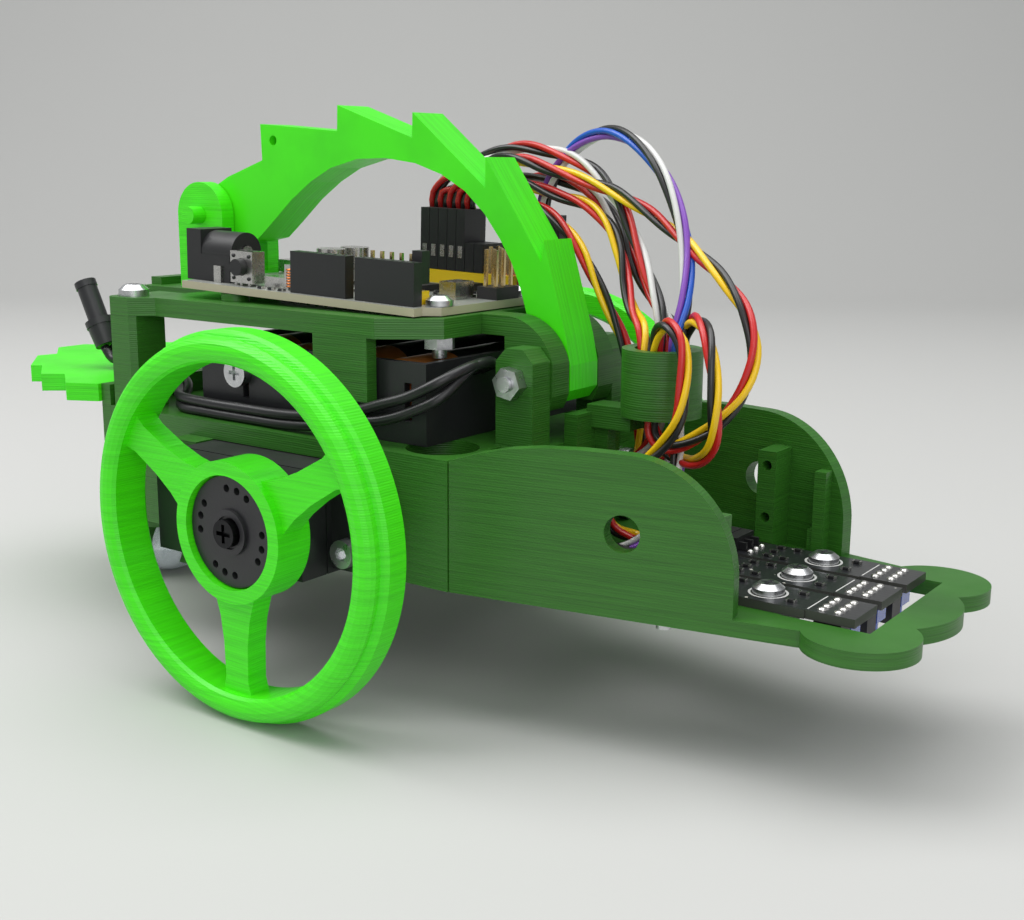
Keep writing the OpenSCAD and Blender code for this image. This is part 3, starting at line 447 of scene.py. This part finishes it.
@dataclass(frozen=True)
class ClearBall:
    """Solid glass with a faint tint and a swirl inside."""

    name: str
    slot: str

    def make(self) -> bpy.types.Material:
        """Builds the material.

        Returns:
            The finished material.
        """
        mat = bpy.data.materials.new(self.name)
        mat.use_nodes = True
        nodes, links = mat.node_tree.nodes, mat.node_tree.links
        nodes.clear()
        out = nodes.new("ShaderNodeOutputMaterial")
        out.location, out.label = (500, 0), "Surface"
        skin = nodes.new("ShaderNodeBsdfPrincipled")
        skin.location, skin.label = (220, 0), "Glass"
        skin.inputs["Roughness"].default_value = 0.04
        skin.inputs["IOR"].default_value = 1.5
        where = nodes.new("ShaderNodeTexCoord")
        where.location, where.label = (-700, 0), "Place in the ball"
        swirl = nodes.new("ShaderNodeTexNoise")
        swirl.location, swirl.label = (-480, 0), "Swirl"
        swirl.inputs["Scale"].default_value = 140.0
        swirl.inputs["Distortion"].default_value = 2.5
        tint = nodes.new("ShaderNodeMix")
        tint.location, tint.label, tint.data_type = (-200, 60), "Tint", "RGBA"
        tint.inputs["A"].default_value = (0.75, 0.82, 0.84, 1)
        tint.inputs["B"].default_value = (0.5, 0.58, 0.62, 1)
        clear = nodes.new("ShaderNodeMapRange")
        clear.location, clear.label = (-200, -220), "How clear"
        clear.inputs["To Min"].default_value = 0.95
        clear.inputs["To Max"].default_value = 0.55
        links.new(where.outputs["Object"], swirl.inputs["Vector"])
        links.new(swirl.outputs["Fac"], tint.inputs["Factor"])
        links.new(swirl.outputs["Fac"], clear.inputs["Value"])
        links.new(tint.outputs["Result"], skin.inputs["Base Color"])
        links.new(clear.outputs["Result"], skin.inputs["Transmission Weight"])
        links.new(skin.outputs["BSDF"], out.inputs["Surface"])
        return mat


@dataclass(frozen=True)
class Sleeve:
    """Printed sleeve of a battery cell: dark body and a coppery band at one end."""

    name: str
    slot: str

    def make(self) -> bpy.types.Material:
        """Builds the material.

        Returns:
            The finished material.
        """
        mat = bpy.data.materials.new(self.name)
        mat.use_nodes = True
        nodes, links = mat.node_tree.nodes, mat.node_tree.links
        nodes.clear()
        out = nodes.new("ShaderNodeOutputMaterial")
        out.location, out.label = (600, 0), "Surface"
        skin = nodes.new("ShaderNodeBsdfPrincipled")
        skin.location, skin.label = (320, 0), "Foil sleeve"
        skin.inputs["Roughness"].default_value = 0.3
        skin.inputs["Metallic"].default_value = 0.55
        where = nodes.new("ShaderNodeTexCoord")
        where.location, where.label = (-700, 0), "Place on the cell"
        split = nodes.new("ShaderNodeSeparateXYZ")
        split.location, split.label = (-480, 0), "Along the cell"
        wear = nodes.new("ShaderNodeTexNoise")
        wear.location, wear.label = (-480, -250), "Scuffs"
        wear.inputs["Scale"].default_value = 260.0
        band = nodes.new("ShaderNodeMath")
        band.location, band.label, band.operation = (-240, 0), "Copper band", "LESS_THAN"
        band.inputs[1].default_value = -0.011
        tone = nodes.new("ShaderNodeMix")
        tone.location, tone.label, tone.data_type = (60, 60), "Sleeve colour", "RGBA"
        tone.inputs["A"].default_value = (0.02, 0.02, 0.022, 1)
        tone.inputs["B"].default_value = (0.62, 0.22, 0.05, 1)
        bump = nodes.new("ShaderNodeBump")
        bump.location, bump.label = (60, -300), "Scuff relief"
        bump.inputs["Strength"].default_value = 0.1
        bump.inputs["Distance"].default_value = 0.0001
        links.new(where.outputs["Object"], split.inputs["Vector"])
        links.new(where.outputs["Object"], wear.inputs["Vector"])
        links.new(split.outputs["Y"], band.inputs[0])
        links.new(band.outputs["Value"], tone.inputs["Factor"])
        links.new(wear.outputs["Fac"], bump.inputs["Height"])
        links.new(tone.outputs["Result"], skin.inputs["Base Color"])
        links.new(bump.outputs["Normal"], skin.inputs["Normal"])
        links.new(skin.outputs["BSDF"], out.inputs["Surface"])
        return mat


Finish = Printed | Moulded | Metal | Board | ClearBall | Sleeve

GREEN = Printed("Green print", "green_print", (0.030, 0.150, 0.012), (0.022, 0.112, 0.009), rough=0.4)
# The lime prints carry a faint painted glow.
LIME = Printed("Lime print", "lime_print", LIME_COLOUR, LIME_DEEP, painted_glow=0.04)
LIME_FLAT = Printed("Lime print on its side", "lime_print", LIME_COLOUR, LIME_DEEP,
                    layers=Layers.SIDEWAYS, painted_glow=0.04)
BLACK = Moulded("Black moulding", "black_plastic", (0.014, 0.014, 0.016), 0.4, 0.14, 0.2)
SOCKET = Moulded("Connector black", "connector_black", (0.012, 0.012, 0.013), 0.46, 0.1, 0.15)
SHEATH = Moulded("Cable black", "black_cable", (0.01, 0.01, 0.011), 0.33, 0.3, 0.05, 0.03)
YELLOW = Moulded("Header yellow", "yellow_plastic", (0.84, 0.56, 0.01), 0.4)
RED = Moulded("Header red", "red_plastic", (0.55, 0.015, 0.01), 0.4)
LENS = Moulded("Blue resin", "blue_lens", (0.03, 0.09, 0.5), 0.12, 0.3, 0.02, 0.02, 0.6)
WIRE_YELLOW = Moulded("Wire yellow", "wire_yellow", (0.82, 0.52, 0.005), 0.34, 0.4, 0.04, 0.02, 0.2)
WIRE_RED = Moulded("Wire red", "wire_red", (0.52, 0.012, 0.012), 0.34, 0.4, 0.04, 0.02, 0.2)
WIRE_BLACK = Moulded("Wire black", "wire_black", (0.012, 0.012, 0.012), 0.34, 0.4, 0.04, 0.03, 0.2)
WIRE_WHITE = Moulded("Wire white", "wire_white", (0.62, 0.62, 0.6), 0.38, 0.4, 0.04, 0.04, 0.2)
WIRE_BLUE = Moulded("Wire blue", "wire_blue", (0.01, 0.09, 0.5), 0.34, 0.4, 0.04, 0.02, 0.2)
WIRE_PURPLE = Moulded("Wire purple", "wire_blue", (0.2, 0.06, 0.42), 0.34, 0.4, 0.04, 0.02, 0.2)
ZINC = Metal("Zinc plate", "zinc_steel", (0.66, 0.67, 0.68), 0.26)
DARK_STEEL = Metal("Black oxide", "black_steel", (0.03, 0.03, 0.032), 0.34)
TIN = Metal("Tinned metal", "tinned_metal", (0.68, 0.67, 0.64), 0.22, (900.0, 900.0, 900.0))
GOLD = Metal("Gold plate", "gold_plate", (0.86, 0.68, 0.36), 0.2, (900.0, 900.0, 900.0))
CONTROL_BOARD = Board("Control board", "board_white", (0.30, 0.31, 0.29), (0.42, 0.43, 0.38),
                      (0.42, 0.38, 0.27))
SENSOR_BOARD = Board("Sensor board", "board_black", (0.012, 0.013, 0.015), (0.03, 0.032, 0.034),
                     (0.05, 0.05, 0.045))
COPPER = Metal("Copper wire", "tinned_metal", (0.78, 0.27, 0.09), 0.28, (900.0, 900.0, 900.0))
BALL = ClearBall("Clear ball", "clear_glass")
CELL = Sleeve("Cell sleeve", "cell_sleeve")
SLOT_FINISH: dict[str, Finish] = {
    f.slot: f
    for f in (GREEN, LIME, BLACK, SOCKET, SHEATH, YELLOW, RED, LENS, WIRE_YELLOW, WIRE_RED, WIRE_BLACK,
              WIRE_WHITE, WIRE_BLUE, ZINC, DARK_STEEL, TIN, GOLD, CONTROL_BOARD, SENSOR_BOARD, BALL, CELL)
}
_made: dict[str, bpy.types.Material] = {}


def material(finish: Finish) -> bpy.types.Material:
    """The material of a finish, built the first time it is asked for.

    Args:
        finish: One of the finishes above.

    Returns:
        The shared material.
    """
    if finish.name not in _made:
        _made[finish.name] = finish.make()
    return _made[finish.name]


def piece(name: str, mesh: bmesh.types.BMesh, finish: Finish, body: str | None,
          smooth: bool = False) -> bpy.types.Object:
    """Turns a bmesh in row frame coordinates into a finished piece.

    Args:
        name: The piece's name.
        mesh: Its geometry, freed here.
        finish: What it is made of.
        body: The CAD body that it rides on, or None to leave it on no body.
        smooth: True for round pieces.

    Returns:
        The new object.
    """
    bmesh.ops.recalc_face_normals(mesh, faces=mesh.faces)
    for face in mesh.faces:
        face.smooth = smooth
    data = bpy.data.meshes.new(name)
    mesh.to_mesh(data)
    mesh.free()
    data.materials.append(material(finish))
    obj = bpy.data.objects.new(name, data)
    bpy.context.scene.collection.objects.link(obj)
    if body is not None:
        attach(obj, body)
    log.info("%s: %d faces", name, len(data.polygons))
    return obj


# ------------------------------------------------------------------ leads
def smooth_path(points: Points, step: float = 1.4 * MM) -> Points:
    """A smooth line through route points.

    Args:
        points: The route, in metres.
        step: About how far apart the new points are.

    Returns:
        Points on a uniform Catmull-Rom curve through the route, ends included.
    """
    out: Points = []
    for i in range(len(points) - 1):
        p1, p2 = points[i], points[i + 1]
        p0 = points[i - 1] if i else p1 * 2 - p2
        p3 = points[i + 2] if i + 2 < len(points) else p2 * 2 - p1
        n = max(2, round((p2 - p1).length / step))
        for k in range(n):
            t = k / n
            out.append(0.5 * (2 * p1 + (p2 - p0) * t + (2 * p0 - 5 * p1 + 4 * p2 - p3) * t * t
                              + (3 * p1 - p0 - 3 * p2 + p3) * t ** 3))
    return out + [points[-1].copy()]


def carried_frames(path: Points) -> list[tuple[Vector, Vector]]:
    """Two directions square to the path at each point, carried along it without twist.

    Args:
        path: Points along the line.

    Returns:
        One pair of unit vectors for each point.
    """
    frames: list[tuple[Vector, Vector]] = []
    side = Vector((0, 1, 0))
    for i in range(len(path)):
        along = (path[min(i + 1, len(path) - 1)] - path[max(i - 1, 0)]).normalized()
        side = (side - along * side.dot(along)).normalized()
        frames.append((side.copy(), along.cross(side)))
    return frames


@dataclass(frozen=True)
class Lead:
    """A set of insulated strands that run together from one part of the robot to another."""

    name: str
    node: str
    route: Points
    strands: tuple[Moulded, ...]
    radius: float
    offset: float
    lay_length: float

    def paths(self) -> list[Points]:
        """The centre line of each strand.

        Returns:
            One list of points for each strand.
        """
        middle = smooth_path(self.route)
        frames = carried_frames(middle)
        run = [0.0]
        for a, b in zip(middle, middle[1:]):
            run.append(run[-1] + (b - a).length)
        lines: list[Points] = []
        for k in range(len(self.strands)):
            line: Points = []
            for point, (u, v), done in zip(middle, frames, run):
                angle = math.tau * (k / len(self.strands) + done / self.lay_length)
                line.append(point + (u * math.cos(angle) + v * math.sin(angle)) * self.offset)
            lines.append(line)
        return lines

    def make(self, blended: bool) -> None:
        """Builds every strand and hides the lead's CAD node.

        Args:
            blended: True if the lead crosses from the lid to the chassis.
        """
        for k, (path, finish) in enumerate(zip(self.paths(), self.strands)):
            obj = strand(f"{self.name}_{k + 1}", path, self.radius, finish)
            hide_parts(self.node)
            if blended:
                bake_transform(obj)
            else:
                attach(obj, CHASSIS)


def strand(name: str, path: Points, radius: float, finish: Finish, sides: int = 10) -> bpy.types.Object:
    """One round strand swept along a path, closed at both ends.

    Args:
        name: The piece's name.
        path: Ring centres.
        radius: Radius in metres.
        finish: Its sheath.
        sides: Corners of each ring.

    Returns:
        The strand, not yet on a body.
    """
    mesh = bmesh.new()
    rings = []
    for point, (u, v) in zip(path, carried_frames(path)):
        rings.append([mesh.verts.new(point + (u * math.cos(math.tau * k / sides)
                                              + v * math.sin(math.tau * k / sides)) * radius)
                      for k in range(sides)])
    for a, b in zip(rings, rings[1:]):
        for k in range(sides):
            mesh.faces.new((a[k], a[(k + 1) % sides], b[(k + 1) % sides], b[k]))
    mesh.faces.new(rings[0])
    mesh.faces.new(rings[-1])
    return piece(name, mesh, finish, None, smooth=True)


def plug_exit(x: float, y: float) -> Points:
    """A lead's first two points: just off its plug on the board and straight out from it.

    Args:
        x, y: Place on the board, in mm.

    Returns:
        Two points in the row frame.
    """
    return [on_board(x, y, PLUG_TOP + 0.03), on_board(x, y, PLUG_TOP + 3.2)]


def row_exit(column: int) -> Points:
    """The first two points of the lead in one column of the header.

    Args:
        column: Counted from the rear.

    Returns:
        Two points in the row frame.
    """
    return plug_exit(HEADER_X + (column + 0.5) * PIN_PITCH, ROW_Y)


def line(*points: tuple[float, float, float]) -> Points:
    """Route points given in mm from the wheel axle's middle on the ground.

    Args:
        *points: Millimetres.

    Returns:
        The same points in the row frame.
    """
    return [at(*p) for p in points]


def sensor_tail(side: int) -> Points:
    """The end of a sensor lead, at its plug on the nose.

    Args:
        side: -1, 0 or 1 from the robot's right to its left.

    Returns:
        One point in the row frame.
    """
    return [at(53.3, side * SENSOR_PITCH, PCB_TOP + 1.4)]


TWISTED = (WIRE_YELLOW, WIRE_RED, WIRE_BLACK)
SERVO_SET = (WIRE_WHITE, WIRE_RED, WIRE_BLACK)
JUMPER_SET = (WIRE_BLUE, WIRE_PURPLE, WIRE_WHITE, WIRE_BLACK)


def leads() -> None:
    """Makes every cord of the robot."""
    thin = dict(radius=0.66 * MM, offset=0.78 * MM, lay_length=34 * MM)
    Lead("lead_a", "sensor_lead_a", row_exit(2) + line(
        (-3, 17.3, 102.4), (4, 16, 105), (12, 14.5, 105.6), (20, 14, 103.8), (29, 13.5, 101.6),
        (38, 12, 99.2),
        (47, 10, 95.6), (55, 7.5, 91.6), (62, 5, 87.6), (68.5, 2.5, 83.5), (74, 0, 78.5), (77, -2, 72.5),
        (76.5, -3.5, 65.5), (73, -5, 59.5), (67.5, -5.5, 55), (61.5, -5, 52.6), (57.6, -4, 54.5),
        (57, -3.4, 60),
        (57.3, -3.4, 68), (58.6, -4.8, 73.6), (62, -7.5, 76), (66, -9.3, 73.5), (67.4, -10.2, 67),
        (66.8, -10.8, 59.5), (63, -11, 53), (57, -11.3, 48), (50, -12, 43), (45.5, -12.2, 37.6),
        (47.6, -12.1, 33.4)) + sensor_tail(-1), TWISTED, **thin).make(blended=True)
    Lead("lead_b", "sensor_lead_b", row_exit(3) + line(
        (0, 17.6, 101), (7, 16.4, 101.8), (14, 15.4, 100.4), (22, 14.5, 98.4), (30, 13.5, 96.6),
        (36.4, 12, 93),
        (40.8, 10, 87.6), (44, 7.5, 81.5), (47.8, 4, 76.6), (52.4, 0.2, 73.4), (53.9, -1.4, 68),
        (53.9, -1.4, 60),
        (56, -0.5, 54), (61, -1.5, 50.2), (67.5, -5, 50.4), (72.5, -8.4, 54.6), (73.6, -9.6, 61.5),
        (72.6, -9, 68.5), (69.6, -6, 74.6), (64.6, -1.4, 76.6), (60.8, 1.6, 73), (60, 1.8, 67),
        (60, 1.8, 59),
        (57.6, 1.6, 51.5), (50.6, 0.4, 45.4), (45, -0.4, 39.4), (46.8, 0, 33.6)) + sensor_tail(0),
        TWISTED, **thin).make(blended=True)
    Lead("lead_c", "sensor_lead_c", row_exit(4) + line(
        (3, 17.4, 98.6), (11, 15.6, 97.6), (19, 13.6, 95.4), (26, 11.6, 92), (31.6, 10.2, 87), (36, 9.2, 81),
        (40, 8.8, 75), (43.4, 8.8, 68.5), (45.6, 9, 61.5), (46.6, 9.6, 54.5), (46, 11, 47), (44.6, 12, 39.8),
        (46.8, 12.1, 33.8)) + sensor_tail(1), TWISTED, **thin).make(blended=True)
    Lead("lead_servo_right", "servo_leads", row_exit(0) + line(
        (-9, 17.4, 102), (-1, 17, 105), (9, 17.6, 108), (20, 17, 107), (30, 15.6, 103.8), (38, 13.6, 97.4),
        (44, 11, 89.6), (49.6, 7.4, 82.4), (54, 4.4, 75.6), (55.2, 3.4, 68), (55.2, 3.4, 59),
        (52.6, 3.6, 50.4),
        (46, 1.6, 45), (37.6, -3.4, 41.6), (28, -10, 39.4), (19, -16.4, 37.6), (11.8, -17.7, 37.5)),
        SERVO_SET, **thin).make(blended=True)
    Lead("lead_servo_left", "servo_leads", row_exit(1) + line(
        (-6, 18.6, 99.2), (2, 20, 100.6), (11, 20.4, 101.6), (20, 19.4, 101.4), (29, 18, 98.6),
        (36.6, 15.6, 92.8),
        (42.4, 12.6, 85.6), (49, 9.4, 78.8), (56, 5.6, 74), (58.3, 4, 68), (58.3, 4, 59), (56.4, 5.4, 50),
        (49, 6.4, 42.6), (38, 7, 39.6), (31, 8.6, 38.8), (24, 12.6, 38.2), (19, 17, 37.6),
        (11.8, 17.7, 37.5)),
        SERVO_SET, **thin).make(blended=True)
    Lead("lead_jumper", "jumper_lead", plug_exit(65.2, 17.1) + line(
        (20.5, 17.8, 104), (26.5, 17.2, 109), (34, 15.6, 111), (42, 13, 109), (49.4, 10.4, 103.6),
        (55, 7.8, 96),
        (58.6, 5.2, 88), (60.8, 1.4, 80), (60.7, -1.3, 72), (60.6, -1.4, 64), (61.6, -2, 56), (63, -4, 47),
        (61.4, -6.4, 38.4), (56.8, -8.4, 33.2), (50.5, -9, 30.4)),
        JUMPER_SET, radius=0.62 * MM, offset=0.9 * MM, lay_length=60 * MM).make(blended=True)
    first = [(21.7, -13, 64.5), (25.5, -14.5, 66), (27.6, -19, 67), (27.8, -24.5, 66.4), (26, -29, 64.6),
             (20, -31.2, 61.4), (14, -32.3, 59.4), (7, -32.6, 57.2), (-2, -32.6, 55.4), (-12, -32.4, 54.5),
             (-24, -32, 54.3), (-36, -31.8, 54.3), (-46, -30.4, 54.4), (-52, -25.5, 54.8),
             (-57.5, -22, 56.2),
             (-64, -20.8, 59), (-71, -20.4, 60.4), (-77.5, -20.2, 58.8), (-82.2, -20, 58.4), (-85, -20, 61)]
    beside = [(x, y + 2.4, z) if x < -49 or y > -25 else (x, y, z - (3.1 if x > 10 else 2))
              for x, y, z in first]
    for name, route in (("battery_strand_1", first), ("battery_strand_2", beside)):
        Lead(name, "battery_lead", line(*route), (SHEATH,), 1.1 * MM, 0.0, 1.0).make(blended=False)


# ------------------------------------------------------------------ fine pieces
@dataclass(frozen=True)
class Blocks:
    """Small square-edged parts on one body, such as chip components or a printed mark."""

    name: str
    finish: Finish
    body: str
    boxes: tuple[tuple[float, float, float, float, float, float], ...]
    board: bool = False
    bevel: float = 0.08

    def make(self) -> bpy.types.Object:
        """Builds the parts as one piece, edges rounded.

        Returns:
            The new piece.
        """
        mesh = bmesh.new()
        turn = Matrix.Rotation(BOARD_TILT, 4, "Y") if self.board else Matrix.Identity(4)
        place = on_board if self.board else at
        for x, y, z, w, d, h in self.boxes:
            bmesh.ops.create_cube(mesh, size=1, matrix=Matrix.Translation(place(x, y, z + h / 2)) @ turn
                                  @ Matrix.Diagonal((w * MM, d * MM, h * MM, 1)))
        bmesh.ops.bevel(mesh, geom=mesh.edges[:], offset=self.bevel * MM, segments=2, affect="EDGES")
        return piece(self.name, mesh, self.finish, self.body)


@dataclass(frozen=True)
class Domes:
    """Round low beads on one body, such as solder joints."""

    name: str
    finish: Finish
    body: str
    beads: tuple[tuple[float, float, float, float, float], ...]
    board: bool = False

    def make(self) -> bpy.types.Object:
        """Builds the beads as one piece.

        Returns:
            The new piece.
        """
        mesh = bmesh.new()
        place = on_board if self.board else at
        for x, y, z, radius, height in self.beads:
            bmesh.ops.create_uvsphere(mesh, u_segments=16, v_segments=10, radius=1,
                                      matrix=Matrix.Translation(place(x, y, z))
                                      @ Matrix.Diagonal((radius * MM, radius * MM, height * MM, 1)))
        return piece(self.name, mesh, self.finish, self.body, smooth=True)


def board_details() -> None:
    """Chip components, solder joints and contacts of the controller board."""
    spots = [(9, 6), (9, 3), (9, 0), (13, 8), (16, 8), (21, -6), (21, -3), (21, 0), (34, -14),
             (37, -14), (40, -14),
             (34, 4), (36, -3), (36, 0), (44, 8), (47, 8), (52, -2), (54, -5), (58, 3), (59, 8), (30.2, 10),
             (27, 12), (24, 12), (46, -12), (50, -12), (54, -12), (23, -25.2), (26, -25.2), (29, -25.2)]
    bodies = tuple((x, y, 0.06, 1.1, 1.0, 0.5) for x, y in spots)
    ends = tuple((x + s * 0.72, y, 0.03, 0.34, 1.04, 0.54) for x, y in spots for s in (-1, 1))
    Blocks("chip_resistors", SOCKET, LID, bodies, board=True).make()
    Blocks("chip_resistor_ends", TIN, LID, ends, board=True, bevel=0.06).make()
    chip_legs = tuple((41 + i * 0.87, y, 0.04, 0.3, 0.9, 0.35) for i in range(9) for y in (-7.0, 3.0))
    Blocks("chip_legs", TIN, LID, chip_legs, board=True, bevel=0.05).make()
    socket_joints = tuple((x0 + (i + 0.5) * PIN_PITCH, -24.1, -1.7, 0.62, 0.7)
                          for x0 in (31.75, 49.5) for i in range(6))
    header_joints = tuple((HEADER_X + (i + 0.5) * PIN_PITCH, y, -1.7, 0.62, 0.7)
                          for i in range(HEADER_COLUMNS) for y in HEADER_ROWS)
    Domes("solder_under_board", TIN, LID, socket_joints + header_joints, board=True).make()
    dots = tuple((x, -24.62, z, 0.42, 0.42) for x in (14.2, 18.8) for z in (1.6, 6.3))
    Domes("switch_rivets", SOCKET, LID, dots, board=True).make()
    switch_legs = tuple((x, -24.0, 0.02, 0.7, 0.5, 0.9) for x in (14.4, 16.0, 18.4))
    Blocks("switch_legs", TIN, LID, switch_legs, board=True, bevel=0.06).make()


def plug_details() -> None:
    """Catches and contacts that show in the windows of the lead plugs."""
    windows = tuple((HEADER_X + (i + 0.5) * PIN_PITCH, 13.9, 6.0, 1.2, 0.12, 2.6) for i in range(5))
    Blocks("plug_contacts", TIN, LID, windows, board=True, bevel=0.03).make()
    latches = tuple((60.3 + (i + 0.46) * 2.4, 15.86, 6.0, 1.1, 0.12, 2.6) for i in range(4))
    Blocks("plug_contacts_wide", TIN, LID, latches, board=True, bevel=0.03).make()


def sensor_details() -> None:
    """Solder joints, chip components and screw pads of the three sensor boards."""
    beads: list[tuple[float, float, float, float, float]] = []
    pads: list[tuple[float, float, float, float, float, float]] = []
    chips: list[tuple[float, float, float, float, float, float]] = []
    ends: list[tuple[float, float, float, float, float, float]] = []
    for side in (-1, 0, 1):
        y0 = side * SENSOR_PITCH
        beads += [(x, y0 + y, PCB_TOP, 0.85, 0.55) for x in (98.4, 101.4) for y in (-3.3, -1.2, 1.2, 3.3)]
        beads += [(72.6, y0 + k * PIN_PITCH, PCB_TOP, 0.8, 0.6) for k in (-1, 0, 1)]
        for x, y in ((76.5, -3.2), (76.5, 0), (76.5, 3.2), (80, -3.4), (80, 3.4), (92.4, -2.6), (92.4, 2.6)):
            chips.append((x, y0 + y, PCB_TOP + 0.05, 1.1, 1.0, 0.5))
            ends += [(x + s * 0.72, y0 + y, PCB_TOP + 0.02, 0.34, 1.04, 0.54) for s in (-1, 1)]
        pads.append((96.2, y0, PCB_TOP + 0.01, 0.25, 8.6, 0.03))
    Domes("sensor_solder", TIN, CHASSIS, tuple(beads)).make()
    Blocks("sensor_chips", SOCKET, CHASSIS, tuple(chips)).make()
    Blocks("sensor_chip_ends", TIN, CHASSIS, tuple(ends), bevel=0.06).make()
    Blocks("sensor_marks", WIRE_WHITE, CHASSIS, tuple(pads), bevel=0.01).make()


@dataclass(frozen=True)
class Washers:
    """Flat printed rings round the sensor screws."""

    inner: float = 3.15
    outer: float = 3.6
    sides: int = 64

    def make(self) -> bpy.types.Object:
        """Builds the three rings as one piece.

        Returns:
            The new piece.
        """
        mesh = bmesh.new()
        for side in (-1, 0, 1):
            for k in range(self.sides):
                a, b = math.tau * k / self.sides, math.tau * (k + 1) / self.sides
                corners = [(self.inner, a), (self.outer, a), (self.outer, b), (self.inner, b)]
                mesh.faces.new([mesh.verts.new(at(SCREW_X + r * math.cos(t),
                                                  side * SENSOR_PITCH + r * math.sin(t),
                                                  PCB_TOP + 0.03)) for r, t in corners])
        bmesh.ops.remove_doubles(mesh, verts=mesh.verts, dist=1e-7)
        return piece("sensor_rings", mesh, WIRE_WHITE, CHASSIS)


@dataclass(frozen=True)
class Coil:
    """Copper turns wound round the choke beside the first socket strip."""

    x: float = 29.6
    y: float = -21.0
    turns: int = 7

    def make(self) -> bpy.types.Object:
        """Builds the winding.

        Returns:
            The new piece.
        """
        path: Points = []
        for k in range(self.turns * 16 + 1):
            a = math.tau * k / 16
            path.append(on_board(self.x + 1.5 * math.cos(a), self.y + 2.8 * math.sin(a),
                                 0.5 + 4.0 * k / (self.turns * 16)))
        obj = strand("choke_winding", path, 0.22 * MM, COPPER, sides=8)
        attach(obj, LID)
        return obj


# ------------------------------------------------------------------ stage
def camera() -> None:
    """Places the camera low at the robot's front right, looking back along it."""
    data = bpy.data.cameras.new("camera")
    data.lens, data.sensor_width, data.sensor_fit = 47.95, 36.0, "HORIZONTAL"
    data.shift_x, data.shift_y = -0.00098, 0.00328
    data.clip_start, data.clip_end = 0.01, 10.0
    cam = bpy.data.objects.new("camera", data)
    turn = (Matrix.Rotation(VIEW_TURN, 4, "Z") @ Matrix.Rotation(math.pi / 2 - VIEW_DIP, 4, "X")
            @ Matrix.Rotation(VIEW_ROLL, 4, "Z"))
    cam.matrix_world = Matrix.Translation((0.19005, -0.22633, 0.10492)) @ turn
    bpy.context.scene.collection.objects.link(cam)
    bpy.context.scene.camera = cam


def backdrop() -> None:
    """Makes the pale floor that curves up into the wall behind."""
    mesh = bmesh.new()
    forward = Vector((-math.sin(VIEW_TURN), math.cos(VIEW_TURN), 0))
    side = Vector((forward.y, -forward.x, 0))
    bend, back = 0.5, 0.75
    profile = [(-2.0, 0.0), (back, 0.0)]
    profile += [(back + bend * math.sin(a), bend * (1 - math.cos(a)))
                for a in (math.pi / 2 * k / 24 for k in range(1, 25))] + [(back + bend, 2.5)]
    rows = [[mesh.verts.new(forward * d + side * s + Vector((0, 0, z))) for s in (-2.5, 2.5)]
            for d, z in profile]
    for a, b in zip(rows, rows[1:]):
        mesh.faces.new((a[0], b[0], b[1], a[1])).smooth = True
    data = bpy.data.meshes.new("backdrop")
    mesh.to_mesh(data)
    mesh.free()
    mat = bpy.data.materials.new("Paper")
    mat.use_nodes = True
    nodes, links = mat.node_tree.nodes, mat.node_tree.links
    nodes.clear()
    out = nodes.new("ShaderNodeOutputMaterial")
    out.location, out.label = (300, 0), "Surface"
    skin = nodes.new("ShaderNodeBsdfPrincipled")
    skin.location, skin.label = (0, 0), "Matt paper"
    skin.inputs["Base Color"].default_value = (0.5, 0.5, 0.485, 1)
    skin.inputs["Roughness"].default_value = 0.85
    links.new(skin.outputs["BSDF"], out.inputs["Surface"])
    data.materials.append(mat)
    obj = bpy.data.objects.new("backdrop", data)
    bpy.context.scene.collection.objects.link(obj)


@dataclass(frozen=True)
class Softbox:
    """A large soft light that points at the robot."""

    name: str
    place: tuple[float, float, float]
    size: float
    watts: float

    def make(self) -> None:
        """Adds the light."""
        data = bpy.data.lights.new(self.name, "AREA")
        data.size, data.energy = self.size, self.watts
        obj = bpy.data.objects.new(self.name, data)
        obj.location = self.place
        obj.rotation_euler = (Vector((0, 0, 0.04)) - Vector(self.place)).to_track_quat("-Z", "Y").to_euler()
        bpy.context.scene.collection.objects.link(obj)


SOFTBOXES = (
    Softbox("key", (-0.5, -0.35, 0.95), 0.8, 9.0),
    Softbox("top", (0.15, 0.1, 1.1), 1.0, 8.0),
    Softbox("fill", (0.75, -0.75, 0.5), 0.9, 4.0),
)


def light() -> None:
    """Adds the softboxes and an even grey surround."""
    for box in SOFTBOXES:
        box.make()
    world = bpy.data.worlds.new("Surround")
    world.use_nodes = True
    world.node_tree.nodes["Background"].inputs["Color"].default_value = (0.9, 0.92, 0.95, 1)
    world.node_tree.nodes["Background"].inputs["Strength"].default_value = 0.45
    bpy.context.scene.world = world
    bpy.context.scene.view_settings.view_transform = "Standard"


def finish_cad(frame: dict) -> None:
    """Gives every CAD node the finish of its slot in the record.
    """
    for part in frame["record"]["subparts"]:
        node, slot_name = part["node"], part["material_slot"]
        obj = frame["nodes"][node]
        finish = LIME_FLAT if node == "crest" else SLOT_FINISH[slot_name]
        obj.data.materials.clear()
        obj.data.materials.append(material(finish))


def main() -> None:
    """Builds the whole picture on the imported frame."""
    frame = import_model()
    camera()
    leads()
    finish_cad(frame)
    board_details()
    plug_details()
    sensor_details()
    Washers().make()
    Coil().make()
    backdrop()
    light()
    log.info("done")


if __name__ == "__main__":
    main()
